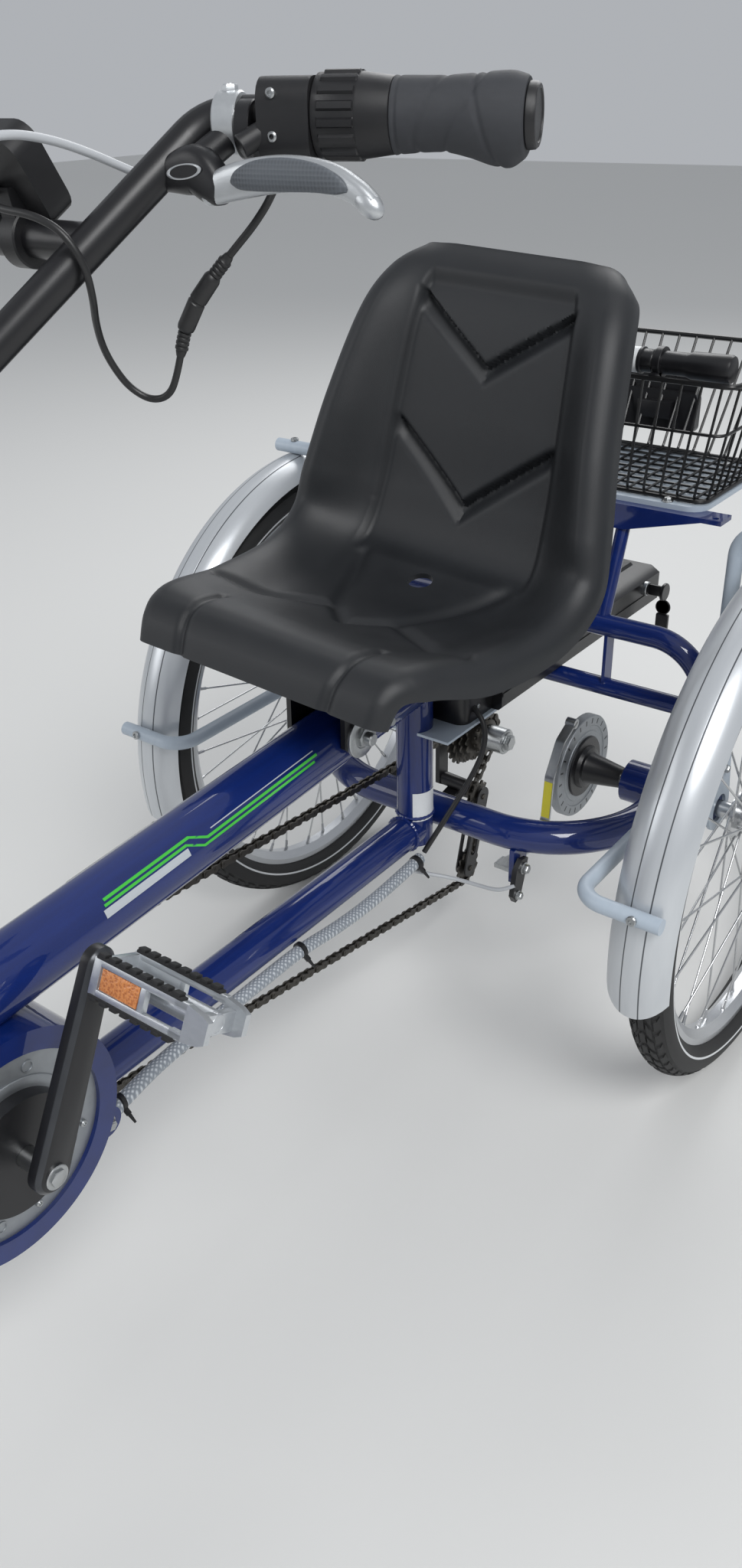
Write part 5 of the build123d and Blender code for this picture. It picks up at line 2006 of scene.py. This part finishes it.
def round_section(radius, steps=8):
    """A round section for a wire or tube."""
    return [(radius * cos(2 * pi * n / steps), radius * sin(2 * pi * n / steps)) for n in range(steps)]


def basket_row(z):
    """The basket's half width, front and back at a height in mm."""
    share = (z - 629.2) / (752.0 - 629.2)
    return [low + (high - low) * share for low, high in zip((190.0, 50.0, 228.0), (212.0, 44.0, 282.0))]


wire_shapes = []
for z, radius in ((628.6, 2.5), (701.0, 1.8), (752.0, 3.0)):
    half, front, back = basket_row(z)
    corners = [
        (0, front, z), (half, front, z), (half, back, z), (-half, back, z), (-half, front, z), (0, front, z)
    ]
    wire_shapes.append(swept(filleted(corners, 16), round_section(radius)))
floor_half, floor_front, floor_back = basket_row(629.2)
rim_half, rim_front, rim_back = basket_row(752.0)
for number in range(19):
    share = 0.93 * (2 * number / 18 - 1)
    corners = [
        (share * rim_half, rim_front + 1, 752),
        (share * floor_half, floor_front + 1, 630.2),
        (share * floor_half, floor_back - 1, 630.2),
        (share * rim_half, rim_back - 1, 752),
    ]
    wire_shapes.append(swept(filleted(corners, 7, 4), round_section(1.6, 6)))
for number in range(9):
    share = 0.06 + 0.88 * number / 8
    floor_y = floor_front + (floor_back - floor_front) * share
    rim_y = rim_front + (rim_back - rim_front) * share
    corners = [
        (rim_half - 1, rim_y, 752),
        (floor_half - 1, floor_y, 628.4),
        (1 - floor_half, floor_y, 628.4),
        (1 - rim_half, rim_y, 752),
    ]
    wire_shapes.append(swept(filleted(corners, 7, 4), round_section(1.6, 6)))
raised = [(-40, rim_back, 752), (-46, rim_back, 786), (-154, rim_back, 786), (-160, rim_back, 752)]
wire_shapes.append(swept(filleted(raised, 12), round_section(2.5)))
make_piece("basket_wires", "chassis", *gather(wire_shapes), [basket_wire], "wire", "basket")
pump_white = moulded("white_pump_barrel", "d9dbdc", "cccfd0", 0.3, 0.9, 0.05)
# The pump's middle line as y and z, and its black parts: where each starts, its rows, its steps
pump_line = (63, 765)
clip_rows = [(0, 15.4), (0.6, 16), (7.4, 16), (8, 15.4)]
handle_rows = [(0, 13.6), (3, 13.8), (4, 12), (14, 12), (16, 13), (18, 12), (40, 12), (53, 12), (59, 14)]
handle_rows += [(99, 14.5), (102, 13.4), (103, 11)]
pump_rows = [
    (-78, [(0, 11), (1, 12), (8, 13.5), (22, 13.5), (23, 12.6)], 28),
    (-42, [(0, 13.2), (1, 14.2), (44, 14.2), (45, 13.2)], 28),
    (97, handle_rows, 28),
    (-4, clip_rows, 32),
    (116, clip_rows, 32),
]
pump_shapes = [turned(place(x, *pump_line), (1, 0, 0), rows, steps) for x, rows, steps in pump_rows]
pump_shapes += [brick(place, (x, 42, 750), (far, 58, 757), 0.8) for x, far in ((-4, 4), (116, 124))]
make_piece("pump_ends", "chassis", *gather(pump_shapes), [black_satin], "black_plastic")
barrel_shape = turned(place(-57, *pump_line), (1, 0, 0), [(0, 12.9), (15.6, 12.9)], 28)
make_piece("pump_barrel", "chassis", *barrel_shape, [pump_white], "silver_paint")
tube_shape = turned(place(2, *pump_line), (1, 0, 0), [(0, 13.2), (95, 13.2), (96, 12.6)], 28)
make_piece("pump_tube", "chassis", *tube_shape, [pump_white], "silver_paint")
lens_red = moulded("red_lens_acrylic", "a8201a", "8c1613", 0.16, 1.6, 0.3, 0.0, 0.6)
light_shapes = [
    slab(round_corners(51, 24, 8, (36, 668)), 250.5, 262.5, front_spot, 1.4),
    brick(place, (14, 240, 660), (58, 252, 680), 1.0),
    brick(place, (-12, 256, 688), (84, 262, 720), 1.0),
    hex_bolt(place(20, 256.5, 708), (0, -1, 0), 7, 3, 10),
    hex_bolt(place(52, 256.5, 708), (0, -1, 0), 7, 3, 10),
]
make_piece("rear_light_case", "chassis", *gather(light_shapes), [black_satin], "black_plastic")
lens_shape = slab(round_corners(48, 21, 7, (36, 668)), 262, 269.5, front_spot, 2.4)
make_piece("rear_light_lens", "chassis", *lens_shape, [lens_red], "black_plastic")
rack_screws = gather(
    [hex_bolt(place(x, y, 625.4), (0, 0, 1), 8, 3, 13) for x in (-150, 150) for y in (45, 205)]
)
make_piece("rack_screws", "chassis", *rack_screws, [zinc_plate], "steel")
